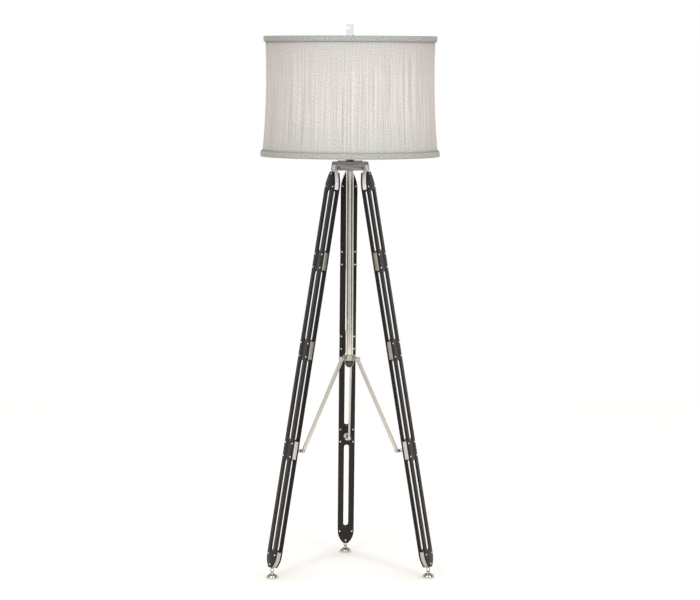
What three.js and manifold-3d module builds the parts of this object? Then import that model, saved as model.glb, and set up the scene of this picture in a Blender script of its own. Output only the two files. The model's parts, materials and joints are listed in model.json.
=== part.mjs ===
// Tripod floor lamp: three legs of paired ebonised planks riveted to nickel blocks, hinged
// under a nickel hub, tied by three arms to a collar on the centre column, and topped by a
// fabric drum shade on a harp.
// Millimetres, +Z up. The origin is on the floor, under the centre of the lamp's bounding box.

import * as THREE from "three";
import { mergeVertices } from "three/addons/utils/BufferGeometryUtils.js";
import Module from "manifold-3d";

const wasm = await Module();
wasm.setup();

// ---- Stance: where the leg hinges and the feet are ----
const HINGE_HEIGHT = 1130;
const HINGE_RADIUS = 47.4; // from the lamp's axis to a leg's hinge pin
const FOOT_CIRCLE = 249.5; // from the lamp's axis to the centre of a foot's ball
const BALL_HEIGHT = 21; // centre of a foot's ball above the floor
const LEG_AZIMUTHS = { back: 90, left: 210, right: 330 };

// ---- Gaps ----
const SEAT_GAP = 0.3; // between pieces that touch
const TURN_GAP = 0.5; // between a pin and the hole that turns on it
const CHEEK_GAP = 0.5; // between a tongue or an arm and the cheek beside it

// ---- Leg planks: distances run down the leg from its hinge pin ----
const PLANK_WIDTH = 46.4;
const PLANK_THICKNESS = 4.6;
const PLANK_SPACING = 12.2; // clear distance between a leg's two planks
const PLANK_START = 13.4;
const ARCH_HEIGHT = 46; // the pointed top
const ARCH_TIP_WIDTH = 18;
const ARCH_BEND = [22.5, 26]; // control point of each side's curve: half width, drop
const TAPER_HEIGHT = 34; // the tapered lower end
const TAPER_TIP_WIDTH = 13;
const TAPER_BEND = [21, 14]; // control point of each side's curve: half width, rise
const SLOT_WIDTH = 14.4;
const SLOT_MARGIN = 3; // wood left between a slot and the block beside it

// ---- Leg blocks ----
const BLOCK_CENTRES = [262.2, 510.6, 789.4];
const BLOCK_HEIGHT = 49.5;
const TOP_BLOCK_HEIGHT = 48;
const FOOT_BLOCK_HEIGHT = 45;
const TONGUE_WIDTH = 16;
const HINGE_PIN_RADIUS = 3;

// ---- Feet ----
const BALL_RADIUS = 5.75;
const BALL_GAP = 0.4; // between the ball and the cup of the foot
const STUD_NECK_RADIUS = 0.85 * BALL_RADIUS;
const STUD_REACH = 8.4; // from the planks' lower tips to the centre of the ball
const BELL_RADIUS = 17.6;
const BELL_RIM = 2.4;
const BELL_SHOULDER = 14;
const BELL_COLLAR_TOP = 17.4;
const BELL_COLLAR_WALL = 1.8;

// ---- Hub ----
const HUB_ABOVE_HINGE = 15.9;
const HUB_THICKNESS = 24.4;
const HUB_CORNER_REACH = 55.3; // from the axis to a short corner face, at the bottom
const HUB_CORNER_WIDTH = 24;
const HUB_TAPER = 0.93; // size of the top face over the bottom face
const HUB_ROOF = 4; // metal left over each hinge slot
const HINGE_SLOT_SWING = 1.5; // room behind a tongue

// ---- Centre column, its end cap and the cord's bushing ----
const COLUMN_RADIUS = 10;
const COLUMN_WALL = 2;
const COLUMN_INSERT = 17; // length of the column inside the hub
const CAP_RADIUS = 12.6;
const CAP_HEIGHT = 17.2;
const CAP_SPIGOT = 12;
const CORD_HOLE_RADIUS = 4.6;
const BUSHING_WALL = 1.2;
const BUSHING_FLANGE = 1.6;

// ---- Spreader: a collar on the column and three arms ----
const UPPER_PIVOT_HEIGHT = 596.5;
const UPPER_PIVOT_RADIUS = 28.4; // from the lamp's axis to an arm's upper pivot
const COLLAR_WALL = 4.6;
const COLLAR_BELOW_PIVOT = 5.6;
const COLLAR_ABOVE_PIVOT = 8.4;
const COLLAR_LIP = 2.2; // height of the lip round the top
const COLLAR_LIP_REACH = 2.4;
const LUG_THICKNESS = 5;
const LUG_END_RADIUS = 5.4;
const ARM_SIDES = { back: 1, left: -1, right: 1 }; // both front arms lie in front of their lugs
const ARM_WIDTH = 10.4;
const ARM_THICKNESS = 5.4;
const ARM_SCREW_RADIUS = 2.4;
const ARM_SCREW_HEAD = [4.2, 2.2]; // radius, height
const BRACKET_RADIUS = 8.6;
const BRACKET_PLATE = 3;
const BRACKET_STANDOFF = 25.6; // from the plank's face to the arm's lower pivot
const LOCK_SCREW_RADIUS = 2.4;
const LOCK_SCREW_HEAD = [3.9, 2.6];
const LOCK_SCREW_AZIMUTH = 270;
const LOCK_SCREW_DROP = 1.2; // below the arms' pivots

// ---- Riser, saddle, socket and bulb: heights run up from the hub's top face ----
const RISER_RADIUS = 5;
const RISER_WALL = 1.3;
const RISER_TOP = 11;
const STRAP_THICKNESS = 1.8;
const STRAP_WIDTH = 11;
const HARP_FOOT_SPREAD = 33; // from the axis to each foot of the harp
const SLEEVE_RADIUS = 4;
const SLEEVE_HEIGHT = 16;
const SLEEVE_BASE = 22;
const SOCKET_RADIUS = 17;
const SOCKET_WALL = 1.6;
const SOCKET_CAP_HEIGHT = 15;
const SOCKET_SHELL_HEIGHT = 44;
const SOCKET_FLOOR = 5;
const BULB_BASE_RADIUS = 13.2;
const BULB_BASE_HEIGHT = 26;
const BULB_RADIUS = 30;
const BULB_HEIGHT = 84;
const SWITCH_HEIGHT = 34;
const SWITCH_STEM = [2, 9]; // radius, length outside the socket
const SWITCH_KNOB = [6, 11];

// ---- Shade ----
const SHADE_LIFT = 14.1; // from the hub's top face to the shade's lower edge
const SHADE_HEIGHT = 330.5;
const SHADE_TOP_RADIUS = 235.1;
const SHADE_WAIST_RADIUS = 232.7;
const SHADE_BOTTOM_RADIUS = 244.2;
const SHADE_WAIST_AT = 0.7; // height of the waist over the height of the shade
const SHADE_FLARE = 2.2; // exponent of the curve below the waist
const FABRIC_THICKNESS = 1.5;
const TRIM_HEIGHT = 16;
const TRIM_THICKNESS = 4.4;
const FRAME_WIRE_RADIUS = 2.2;
const FRAME_UPRIGHTS = 8;
const FRAME_INSET = 4; // from the shade's edge to the centre of a ring's wire
const SPIDER_SPOKES = 3;
const SPIDER_DROP = 16; // from the shade's upper edge to the washer
const WASHER_RADIUS = 11;
const WASHER_HEIGHT = 2;

// ---- Harp and finial ----
const HARP_WIRE_RADIUS = 1.9;
const HARP_FOOT_STRAIGHT = 16; // straight wire above each sleeve
const HARP_BULGE = 62; // half width of the loop at its widest
const HARP_SEAT_RADIUS = 8;
const HARP_STUD_RADIUS = 2.9;
const FERRULE_RADIUS = 7;
const FERRULE_HEIGHT = 10;
const FINIAL_WIDTH = 18.6;
const FINIAL_HEIGHT = 37;
const FINIAL_BEVEL = 0.9;
const FINIAL_TURN = -10; // degrees round the lamp's axis

// ---- Facets ----
const SHADE_SIDES = 32; // a multiple of the uprights, which stand in its corners
const ROUND_SIDES = 16;
const SMALL_SIDES = 10;
const WIRE_SIDES = 6;
const ARC_STEPS = 4;

// ---- Derived places ----
const radians = THREE.MathUtils.degToRad;
const legTilt = Math.atan2(FOOT_CIRCLE - HINGE_RADIUS, HINGE_HEIGHT - BALL_HEIGHT);
const legLength = Math.hypot(FOOT_CIRCLE - HINGE_RADIUS, HINGE_HEIGHT - BALL_HEIGHT);
const plankEnd = legLength - STUD_REACH;
const plankFace = PLANK_SPACING / 2 + PLANK_THICKNESS;
const blockHalf = PLANK_SPACING / 2 - SEAT_GAP;
const hubTop = HINGE_HEIGHT + HUB_ABOVE_HINGE;
const hubBottom = hubTop - HUB_THICKNESS;
const columnTop = hubBottom + COLUMN_INSERT;
const collarBottom = UPPER_PIVOT_HEIGHT - COLLAR_BELOW_PIVOT;
const collarTop = UPPER_PIVOT_HEIGHT + COLLAR_ABOVE_PIVOT;
const collarRadius = COLUMN_RADIUS + TURN_GAP + COLLAR_WALL;
const capTop = collarBottom - SEAT_GAP;
const armNear = LUG_THICKNESS / 2 + CHEEK_GAP;
const armFar = armNear + ARM_THICKNESS;
const shadeBottom = hubTop + SHADE_LIFT;
const shadeTop = shadeBottom + SHADE_HEIGHT;
const washerTop = shadeTop - SPIDER_DROP;
const harpTop = washerTop - WASHER_HEIGHT - SEAT_GAP;
const ferruleBottom = washerTop + SEAT_GAP;
const shadeReach = SHADE_BOTTOM_RADIUS + SEAT_GAP + TRIM_THICKNESS;

// The arm's lower pivot in the upright plane of its leg: distance from the axis, and height.
const lowerPivot = fromLeg(-plankFace - BRACKET_STANDOFF, BLOCK_CENTRES[2]);

// ---- Finishes ----
const FINISHES = {
  ebonised: new THREE.MeshStandardMaterial({ color: "#3a3835", roughness: 0.45, metalness: 0 }),
  nickel: new THREE.MeshStandardMaterial({ color: "#c9c6bd", roughness: 0.18, metalness: 1 }),
  brushed: new THREE.MeshStandardMaterial({ color: "#9a9794", roughness: 0.35, metalness: 1 }),
  fabric: new THREE.MeshStandardMaterial({ color: "#ded6cf", roughness: 0.95, metalness: 0 }),
  trim: new THREE.MeshStandardMaterial({ color: "#a7aaa2", roughness: 0.9, metalness: 0 }),
  wire: new THREE.MeshStandardMaterial({ color: "#b9b4a8", roughness: 0.3, metalness: 1 }),
  brass: new THREE.MeshStandardMaterial({ color: "#b49a62", roughness: 0.35, metalness: 1 }),
  glass: new THREE.MeshStandardMaterial({ color: "#f4f2ec", roughness: 0.25, metalness: 0 }),
  acrylic: new THREE.MeshStandardMaterial({ color: "#dfe0e6", roughness: 0.05, metalness: 0 }),
  plastic: new THREE.MeshStandardMaterial({ color: "#1d1c1b", roughness: 0.5, metalness: 0 }),
};

// ---- Solids ----

function solidOf(geometry) {
  const bare = geometry.clone();
  bare.deleteAttribute("normal");
  bare.deleteAttribute("uv");
  const merged = mergeVertices(bare);
  const vertProperties = merged.attributes.position.array;
  const triVerts = new Uint32Array(merged.index.array);
  return new wasm.Manifold(new wasm.Mesh({ numProp: 3, vertProperties, triVerts }));
}

function join(...geometries) {
  return geometries.map(solidOf).reduce((whole, next) => whole.add(next));
}

function cut(solid, ...geometries) {
  return geometries.map(solidOf).reduce((whole, next) => whole.subtract(next), solid);
}

function piece(name, shape, finish) {
  const mesh = new THREE.Mesh(shape.isBufferGeometry ? shape : geometryOf(shape), FINISHES[finish]);
  mesh.name = name;
  return mesh;
}

function geometryOf(solid) {
  const { vertProperties, triVerts } = solid.getMesh();
  const geometry = new THREE.BufferGeometry();
  geometry.setAttribute("position", new THREE.BufferAttribute(vertProperties, 3));
  geometry.setIndex(new THREE.BufferAttribute(triVerts, 1));
  geometry.computeVertexNormals();
  return geometry;
}

// A round piece on the Z axis. The profile is a list of [radius, height] that starts and ends
// on the axis, or is closed here on its first point.
function turned(profile, sides = ROUND_SIDES) {
  const points = profile.map(([r, z]) => new THREE.Vector2(r, z));
  if (profile[0][0] > 0) points.push(points[0].clone());
  if (THREE.ShapeUtils.isClockWise(points)) points.reverse();
  const geometry = new THREE.LatheGeometry(points, sides);
  return geometry.rotateX(Math.PI / 2);
}

function cylinder(radius, low, high, sides = ROUND_SIDES) {
  return turned([[0, low], [radius, low], [radius, high], [0, high]], sides);
}

function tube(outer, inner, low, high, sides = ROUND_SIDES) {
  return turned([[inner, low], [outer, low], [outer, high], [inner, high]], sides);
}

function ring(radius, height, wire) {
  const section = [];
  for (let i = 0; i < WIRE_SIDES; i++) {
    const turn = (2 * Math.PI * i) / WIRE_SIDES;
    section.push([radius + wire * Math.cos(turn), height + wire * Math.sin(turn)]);
  }
  return turned(section, SHADE_SIDES);
}

function box(x0, x1, y0, y1, z0, z1) {
  const geometry = new THREE.BoxGeometry(x1 - x0, y1 - y0, z1 - z0);
  return geometry.translate((x0 + x1) / 2, (y0 + y1) / 2, (z0 + z1) / 2);
}

// An outline drawn as (sideways, up), given a thickness along X.
function facingOut(outline, from, to) {
  const geometry = flat(outline, from, to);
  const turn = new THREE.Matrix4();
  turn.makeBasis(new THREE.Vector3(0, 1, 0), new THREE.Vector3(0, 0, 1), new THREE.Vector3(1, 0, 0));
  return geometry.applyMatrix4(turn);
}

// An outline drawn as (outwards, up), given a thickness between two distances on the side
// that faces away from +Y.
function facingSide(outline, from, to) {
  return flat(outline, from, to).rotateX(Math.PI / 2);
}

function flat(outline, from, to) {
  const options = { depth: to - from, bevelEnabled: false, curveSegments: ARC_STEPS };
  return new THREE.ExtrudeGeometry(outline, options).translate(0, 0, from);
}

// A round bar along Y at a place in the XZ plane, between two distances on the same side.
function crossBar(radius, x, z, from, to, sides = SMALL_SIDES) {
  return cylinder(radius, from, to, sides).rotateX(Math.PI / 2).translate(x, 0, z);
}

// A bar with round ends from one point to another, as an outline.
function barOutline(start, end, halfWidth) {
  const along = Math.atan2(end[1] - start[1], end[0] - start[0]);
  const outline = new THREE.Shape();
  outline.absarc(end[0], end[1], halfWidth, along - Math.PI / 2, along + Math.PI / 2);
  outline.absarc(start[0], start[1], halfWidth, along + Math.PI / 2, along + 1.5 * Math.PI);
  outline.closePath();
  return outline;
}

function wire(path, radius, steps) {
  const section = new THREE.Shape();
  section.absarc(0, 0, radius, 0, 2 * Math.PI);
  const curveSegments = WIRE_SIDES / 2;
  return new THREE.ExtrudeGeometry(section, { steps, extrudePath: path, curveSegments });
}

// ---- Leg ----

// From a leg's own frame (outwards from its middle plane, down from its hinge pin) to
// distance from the lamp's axis and height above the floor.
function fromLeg(outwards, down) {
  const radius = HINGE_RADIUS + outwards * Math.cos(legTilt) + down * Math.sin(legTilt);
  const height = HINGE_HEIGHT + outwards * Math.sin(legTilt) - down * Math.cos(legTilt);
  return [radius, height];
}

// The outline that planks and blocks share: a pointed arch, straight sides, a tapered end.
function legOutline() {
  const half = PLANK_WIDTH / 2;
  const archTip = ARCH_TIP_WIDTH / 2;
  const taperTip = TAPER_TIP_WIDTH / 2;
  const outline = new THREE.Shape();
  outline.moveTo(-archTip, -PLANK_START);
  outline.quadraticCurveTo(
    -ARCH_BEND[0], -PLANK_START - ARCH_BEND[1], -half, -PLANK_START - ARCH_HEIGHT);
  outline.lineTo(-half, -plankEnd + TAPER_HEIGHT);
  outline.quadraticCurveTo(-TAPER_BEND[0], -plankEnd + TAPER_BEND[1], -taperTip, -plankEnd);
  outline.lineTo(taperTip, -plankEnd);
  outline.quadraticCurveTo(TAPER_BEND[0], -plankEnd + TAPER_BEND[1], half, -plankEnd + TAPER_HEIGHT);
  outline.lineTo(half, -PLANK_START - ARCH_HEIGHT);
  outline.quadraticCurveTo(ARCH_BEND[0], -PLANK_START - ARCH_BEND[1], archTip, -PLANK_START);
  outline.closePath();
  return outline;
}

// The stretches of a leg that blocks fill, from the top down.
function blockStretches() {
  const top = [PLANK_START, PLANK_START + TOP_BLOCK_HEIGHT];
  const middles = BLOCK_CENTRES.map((c) => [c - BLOCK_HEIGHT / 2, c + BLOCK_HEIGHT / 2]);
  const foot = [plankEnd - FOOT_BLOCK_HEIGHT, plankEnd];
  return [top, ...middles, foot];
}

function slotOutlines() {
  const stretches = blockStretches();
  const half = SLOT_WIDTH / 2;
  return stretches.slice(1).map((below, i) => {
    const high = -stretches[i][1] - SLOT_MARGIN - half;
    const low = -below[0] + SLOT_MARGIN + half;
    const slot = new THREE.Path();
    slot.absarc(0, high, half, 0, Math.PI);
    slot.absarc(0, low, half, Math.PI, 2 * Math.PI);
    slot.closePath();
    return slot;
  });
}

function plankGeometry(from) {
  const outline = legOutline();
  outline.holes.push(...slotOutlines());
  return facingOut(outline, from, from + PLANK_THICKNESS);
}

// A block between the planks, with the same outline as theirs.
function blockSolid([start, end]) {
  const whole = solidOf(facingOut(legOutline(), -blockHalf, blockHalf));
  const stretch = box(-PLANK_WIDTH, PLANK_WIDTH, -PLANK_WIDTH, PLANK_WIDTH, -end, -start);
  return whole.intersect(solidOf(stretch));
}

// The top block carries the tongue that turns on the hinge pin.
function topBlockSolid(stretch) {
  const tongue = barOutline([0, 0], [0, -(stretch[0] + stretch[1]) / 2], blockHalf);
  const half = TONGUE_WIDTH / 2;
  const whole = blockSolid(stretch).add(solidOf(facingSide(tongue, -half, half)));
  return cut(whole, crossBar(HINGE_PIN_RADIUS + TURN_GAP, 0, 0, -PLANK_WIDTH, PLANK_WIDTH));
}

function footStudGeometry() {
  const top = -plankEnd - SEAT_GAP;
  const profile = [[0, top], [STUD_NECK_RADIUS, top]];
  const neckMeets = Math.asin(STUD_NECK_RADIUS / BALL_RADIUS);
  for (let i = 0; i <= 6; i++) {
    const turn = neckMeets + ((Math.PI - neckMeets) * i) / 6;
    profile.push([BALL_RADIUS * Math.sin(turn), -legLength + BALL_RADIUS * Math.cos(turn)]);
  }
  profile.at(-1)[0] = 0;
  return turned(profile, SMALL_SIDES);
}

// The bracket on the inner plank: a round plate and the ear that the arm is screwed to.
function bracketSolid() {
  const face = -plankFace - SEAT_GAP;
  const down = -BLOCK_CENTRES[2];
  const pivot = -plankFace - BRACKET_STANDOFF;
  const plate = cylinder(BRACKET_RADIUS, face - BRACKET_PLATE, face);
  plate.rotateY(Math.PI / 2).translate(0, 0, down);
  const root = face - BRACKET_PLATE / 2;
  const half = LUG_THICKNESS / 2;
  const ear = facingSide(barOutline([root, down], [pivot, down], LUG_END_RADIUS), -half, half);
  const beyond = box(face, 0, -BRACKET_RADIUS, BRACKET_RADIUS, down - PLANK_WIDTH, down + PLANK_WIDTH);
  const hole = crossBar(ARM_SCREW_RADIUS + TURN_GAP, pivot, down, -half - 1, half + 1);
  return cut(join(plate, ear), beyond, hole);
}

// A foot: a bell with a cup for the ball, drawn about the lamp's Z axis on the floor.
function footGeometry() {
  const cup = BALL_RADIUS + BALL_GAP;
  const mouth = Math.sqrt(cup ** 2 - (BALL_HEIGHT - BELL_COLLAR_TOP) ** 2);
  const collar = mouth + BELL_COLLAR_WALL;
  const profile = [[0, 0], [BELL_RADIUS, 0], [BELL_RADIUS, BELL_RIM]];
  const steps = 4;
  for (let i = 1; i <= steps; i++) {
    const turn = (Math.PI / 2) * (i / steps);
    const radius = collar + (BELL_RADIUS - collar) * Math.cos(turn);
    profile.push([radius, BELL_RIM + (BELL_SHOULDER - BELL_RIM) * Math.sin(turn)]);
  }
  profile.push([collar, BELL_COLLAR_TOP]);
  const start = Math.asin(mouth / cup);
  for (let i = 0; i <= 3; i++) {
    const turn = start * (1 - i / 3);
    profile.push([cup * Math.sin(turn), BALL_HEIGHT - cup * Math.cos(turn)]);
  }
  profile.at(-1)[0] = 0;
  return turned(profile);
}

function armSolid() {
  const upper = [UPPER_PIVOT_RADIUS, UPPER_PIVOT_HEIGHT];
  const bar = facingSide(barOutline(upper, lowerPivot, ARM_WIDTH / 2), armNear, armFar);
  const [headRadius, headHeight] = ARM_SCREW_HEAD;
  const head = crossBar(headRadius, ...upper, armFar - 1, armFar + headHeight);
  return cut(join(bar, head), crossBar(ARM_SCREW_RADIUS + TURN_GAP, ...lowerPivot, 0, armFar + 1));
}

// The screw and nut at an arm's lower pivot.
function armScrewSolid() {
  const [headRadius, headHeight] = ARM_SCREW_HEAD;
  const headBase = armFar + SEAT_GAP;
  const nutFace = LUG_THICKNESS / 2 + SEAT_GAP;
  const head = crossBar(headRadius, ...lowerPivot, headBase, headBase + headHeight);
  const shank = crossBar(ARM_SCREW_RADIUS, ...lowerPivot, -nutFace - 1, headBase + 1);
  const nut = crossBar(headRadius, ...lowerPivot, -nutFace - headHeight, -nutFace, 6);
  return join(head, shank, nut);
}

function hingePinGeometry() {
  const half = HUB_CORNER_WIDTH / 2 - CHEEK_GAP;
  return crossBar(HINGE_PIN_RADIUS, HINGE_RADIUS, HINGE_HEIGHT, -half, half);
}

// One leg with its arm, standing in the upright plane of its azimuth.
function makeLeg(side, azimuth) {
  const name = (word) => `${side}_${word}`;
  const upright = new THREE.Group();
  upright.rotation.z = radians(azimuth);
  const tilted = new THREE.Group();
  tilted.position.set(HINGE_RADIUS, 0, HINGE_HEIGHT);
  tilted.rotation.y = -legTilt;
  const [top, upper, middle, lower, foot] = blockStretches();
  tilted.add(
    piece(name("outer_plank"), plankGeometry(PLANK_SPACING / 2), "ebonised"),
    piece(name("inner_plank"), plankGeometry(-plankFace), "ebonised"),
    piece(name("top_block"), topBlockSolid(top), "nickel"),
    piece(name("upper_block"), blockSolid(upper), "nickel"),
    piece(name("middle_block"), blockSolid(middle), "nickel"),
    piece(name("lower_block"), blockSolid(lower), "nickel"),
    piece(name("foot_block"), blockSolid(foot), "nickel"),
    piece(name("foot_stud"), footStudGeometry(), "nickel"),
    piece(name("arm_bracket"), bracketSolid(), "nickel"),
  );
  const bell = piece(name("foot"), footGeometry(), "nickel");
  bell.position.x = FOOT_CIRCLE;
  const armAndScrew = new THREE.Group();
  armAndScrew.scale.y = ARM_SIDES[side];
  armAndScrew.add(
    piece(name("arm"), armSolid(), "nickel"),
    piece(name("arm_screw"), armScrewSolid(), "nickel"),
  );
  upright.add(
    tilted,
    bell,
    piece(name("hinge_pin"), hingePinGeometry(), "nickel"),
    armAndScrew,
  );
  return upright;
}

// ---- Hub, column and spreader ----

function turnedTo(azimuth, geometry) {
  return geometry.rotateZ(radians(azimuth));
}

// A six-sided block that widens downwards, with a slot and a cross hole at each leg.
function hubSolid() {
  const outline = new THREE.Shape();
  const corners = Object.values(LEG_AZIMUTHS).flatMap((azimuth) =>
    [-1, 1].map((side) => {
      const corner = new THREE.Vector2(HUB_CORNER_REACH, (side * HUB_CORNER_WIDTH) / 2);
      return corner.rotateAround(new THREE.Vector2(), radians(azimuth));
    }));
  outline.setFromPoints(corners);
  const block = flat(outline, 0, HUB_THICKNESS);
  const places = block.attributes.position;
  for (let i = 0; i < places.count; i++) {
    if (places.getZ(i) > HUB_THICKNESS / 2)
      places.setXY(i, places.getX(i) * HUB_TAPER, places.getY(i) * HUB_TAPER);
  }
  block.translate(0, 0, hubBottom);
  const slotBack = HINGE_RADIUS - blockHalf - HINGE_SLOT_SWING;
  const slotHalf = TONGUE_WIDTH / 2 + CHEEK_GAP;
  const reach = HUB_CORNER_REACH + 1;
  const cuts = Object.values(LEG_AZIMUTHS).flatMap((azimuth) => [
    turnedTo(azimuth, box(slotBack, reach, -slotHalf, slotHalf, hubBottom - 1, hubTop - HUB_ROOF)),
    turnedTo(azimuth, crossBar(
      HINGE_PIN_RADIUS + SEAT_GAP, HINGE_RADIUS, HINGE_HEIGHT, -HUB_CORNER_WIDTH, HUB_CORNER_WIDTH)),
  ]);
  const columnBore = cylinder(COLUMN_RADIUS + SEAT_GAP, hubBottom - 1, columnTop + SEAT_GAP);
  const riserBore = cylinder(RISER_RADIUS + SEAT_GAP, hubBottom, hubTop + 1, SMALL_SIDES);
  return cut(solidOf(block), columnBore, riserBore, ...cuts);
}

function columnCapGeometry() {
  const spigot = COLUMN_RADIUS - COLUMN_WALL - SEAT_GAP;
  return turned([
    [CORD_HOLE_RADIUS, capTop + CAP_SPIGOT],
    [spigot, capTop + CAP_SPIGOT],
    [spigot, capTop],
    [CAP_RADIUS, capTop],
    [CAP_RADIUS, capTop - CAP_HEIGHT * 0.3],
    [CAP_RADIUS * 0.86, capTop - CAP_HEIGHT * 0.72],
    [CAP_RADIUS * 0.58, capTop - CAP_HEIGHT],
    [CORD_HOLE_RADIUS, capTop - CAP_HEIGHT],
  ]);
}

function cordBushingGeometry() {
  const outer = CORD_HOLE_RADIUS - SEAT_GAP;
  const inner = outer - BUSHING_WALL;
  const seat = capTop - CAP_HEIGHT - SEAT_GAP;
  return turned([
    [inner, seat - BUSHING_FLANGE],
    [outer + BUSHING_FLANGE, seat - BUSHING_FLANGE],
    [outer + BUSHING_FLANGE, seat],
    [outer, seat],
    [outer, capTop + CAP_SPIGOT],
    [inner, capTop + CAP_SPIGOT],
  ], SMALL_SIDES);
}

// A round bar that points at the lamp's axis, on the lock screw's azimuth.
function radialBar(radius, height, from, to) {
  const bar = cylinder(radius, from, to, SMALL_SIDES).rotateY(Math.PI / 2);
  return turnedTo(LOCK_SCREW_AZIMUTH, bar.translate(0, 0, height));
}

function spreaderSolid() {
  const bore = COLUMN_RADIUS + TURN_GAP;
  const half = LUG_THICKNESS / 2;
  const lugs = Object.values(LEG_AZIMUTHS).map((azimuth) => {
    const end = [UPPER_PIVOT_RADIUS, UPPER_PIVOT_HEIGHT];
    const lug = barOutline([bore, UPPER_PIVOT_HEIGHT], end, LUG_END_RADIUS);
    return turnedTo(azimuth, facingSide(lug, -half, half));
  });
  const body = tube(collarRadius, bore, collarBottom, collarTop);
  const lip = tube(collarRadius + COLLAR_LIP_REACH, bore, collarTop - COLLAR_LIP, collarTop);
  const screwHeight = UPPER_PIVOT_HEIGHT - LOCK_SCREW_DROP;
  const screwHole = radialBar(LOCK_SCREW_RADIUS + TURN_GAP, screwHeight, bore - 1, collarRadius + 1);
  const columnHole = cylinder(bore, collarBottom - 1, collarTop + 1);
  return cut(join(body, lip, ...lugs), columnHole, screwHole);
}

function lockScrewSolid() {
  const height = UPPER_PIVOT_HEIGHT - LOCK_SCREW_DROP;
  const [headRadius, headHeight] = LOCK_SCREW_HEAD;
  const head = collarRadius + SEAT_GAP;
  const shank = radialBar(LOCK_SCREW_RADIUS, height, COLUMN_RADIUS + SEAT_GAP, head + 1);
  return join(shank, radialBar(headRadius, height, head, head + headHeight));
}

// ---- Light fitting ----

const strapBottom = hubTop + SEAT_GAP;
const strapTop = strapBottom + STRAP_THICKNESS;
const socketCapBottom = strapTop + SEAT_GAP;
const shellBottom = socketCapBottom + SOCKET_CAP_HEIGHT + SEAT_GAP;
const bulbBaseBottom = shellBottom + SOCKET_FLOOR + SEAT_GAP;
const bulbBottom = bulbBaseBottom + BULB_BASE_HEIGHT + SEAT_GAP;
const sleeveBottom = hubTop + SLEEVE_BASE;
const sleeveTop = sleeveBottom + SLEEVE_HEIGHT;
const harpFoot = sleeveBottom + STRAP_THICKNESS;

// The strap under the socket, bent up at both ends into sleeves for the harp's feet.
function saddleSolid() {
  const half = STRAP_WIDTH / 2;
  const thick = STRAP_THICKNESS / 2;
  const end = HARP_FOOT_SPREAD + thick;
  const parts = [box(-end, end, -half, half, strapBottom, strapTop)];
  const cuts = [cylinder(RISER_RADIUS + SEAT_GAP, strapBottom - 1, strapTop + 1, SMALL_SIDES)];
  for (const side of [-1, 1]) {
    const x = side * HARP_FOOT_SPREAD;
    parts.push(box(x - thick, x + thick, -half, half, strapBottom, sleeveBottom + thick));
    parts.push(cylinder(SLEEVE_RADIUS, sleeveBottom, sleeveTop, SMALL_SIDES).translate(x, 0, 0));
    const bore = HARP_WIRE_RADIUS + TURN_GAP;
    cuts.push(cylinder(bore, harpFoot - SEAT_GAP, sleeveTop + 1, SMALL_SIDES).translate(x, 0, 0));
  }
  return cut(join(...parts), ...cuts);
}

function harpSolid() {
  const rise = harpTop - HARP_WIRE_RADIUS - harpFoot;
  const half = [
    [HARP_FOOT_SPREAD, 0],
    [HARP_FOOT_SPREAD, (sleeveTop - harpFoot) / rise],
    [HARP_FOOT_SPREAD, (sleeveTop - harpFoot + HARP_FOOT_STRAIGHT) / rise],
    [HARP_BULGE * 0.86, 0.3],
    [HARP_BULGE, 0.5],
    [HARP_BULGE * 0.84, 0.74],
    [HARP_BULGE * 0.36, 0.945],
  ];
  const place = ([x, share]) => new THREE.Vector3(x, 0, harpFoot + share * rise);
  const mirrored = half.map(([x, share]) => [-x, share]).reverse();
  const path = new THREE.CatmullRomCurve3([...half, [0, 1], ...mirrored].map(place));
  const studTop = ferruleBottom + FERRULE_HEIGHT - 2 - SEAT_GAP;
  return join(
    wire(path, HARP_WIRE_RADIUS, 28),
    cylinder(HARP_SEAT_RADIUS, harpTop - 3, harpTop, SMALL_SIDES),
    cylinder(HARP_STUD_RADIUS, harpTop - 1, studTop, SMALL_SIDES),
  );
}

function socketCapGeometry() {
  const z = socketCapBottom;
  const inner = SOCKET_RADIUS - SOCKET_WALL;
  const hole = RISER_RADIUS + SEAT_GAP;
  return turned([
    [hole, z],
    [SOCKET_RADIUS * 0.7, z],
    [SOCKET_RADIUS, z + SOCKET_CAP_HEIGHT * 0.4],
    [SOCKET_RADIUS, z + SOCKET_CAP_HEIGHT],
    [inner, z + SOCKET_CAP_HEIGHT],
    [inner, z + SOCKET_CAP_HEIGHT * 0.45],
    [inner * 0.7, z + SOCKET_WALL],
    [hole, z + SOCKET_WALL],
  ]);
}

function socketShellSolid() {
  const top = shellBottom + SOCKET_SHELL_HEIGHT;
  const inner = SOCKET_RADIUS - SOCKET_WALL;
  const shell = turned([
    [0, shellBottom],
    [SOCKET_RADIUS, shellBottom],
    [SOCKET_RADIUS, top],
    [inner, top],
    [inner, shellBottom + SOCKET_FLOOR],
    [0, shellBottom + SOCKET_FLOOR],
  ]);
  const holeRadius = SWITCH_STEM[0] + TURN_GAP;
  const hole = crossBar(holeRadius, 0, hubTop + SWITCH_HEIGHT, inner - 2, SOCKET_RADIUS + 1);
  return cut(solidOf(shell), hole);
}

function switchKnobSolid() {
  const [stemRadius, stemLength] = SWITCH_STEM;
  const [knobRadius, knobLength] = SWITCH_KNOB;
  const height = hubTop + SWITCH_HEIGHT;
  const knobStart = SOCKET_RADIUS + stemLength;
  const stemStart = SOCKET_RADIUS - SOCKET_WALL + SEAT_GAP;
  const stem = crossBar(stemRadius, 0, height, stemStart, knobStart + 1);
  return join(stem, crossBar(knobRadius, 0, height, knobStart, knobStart + knobLength));
}

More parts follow.
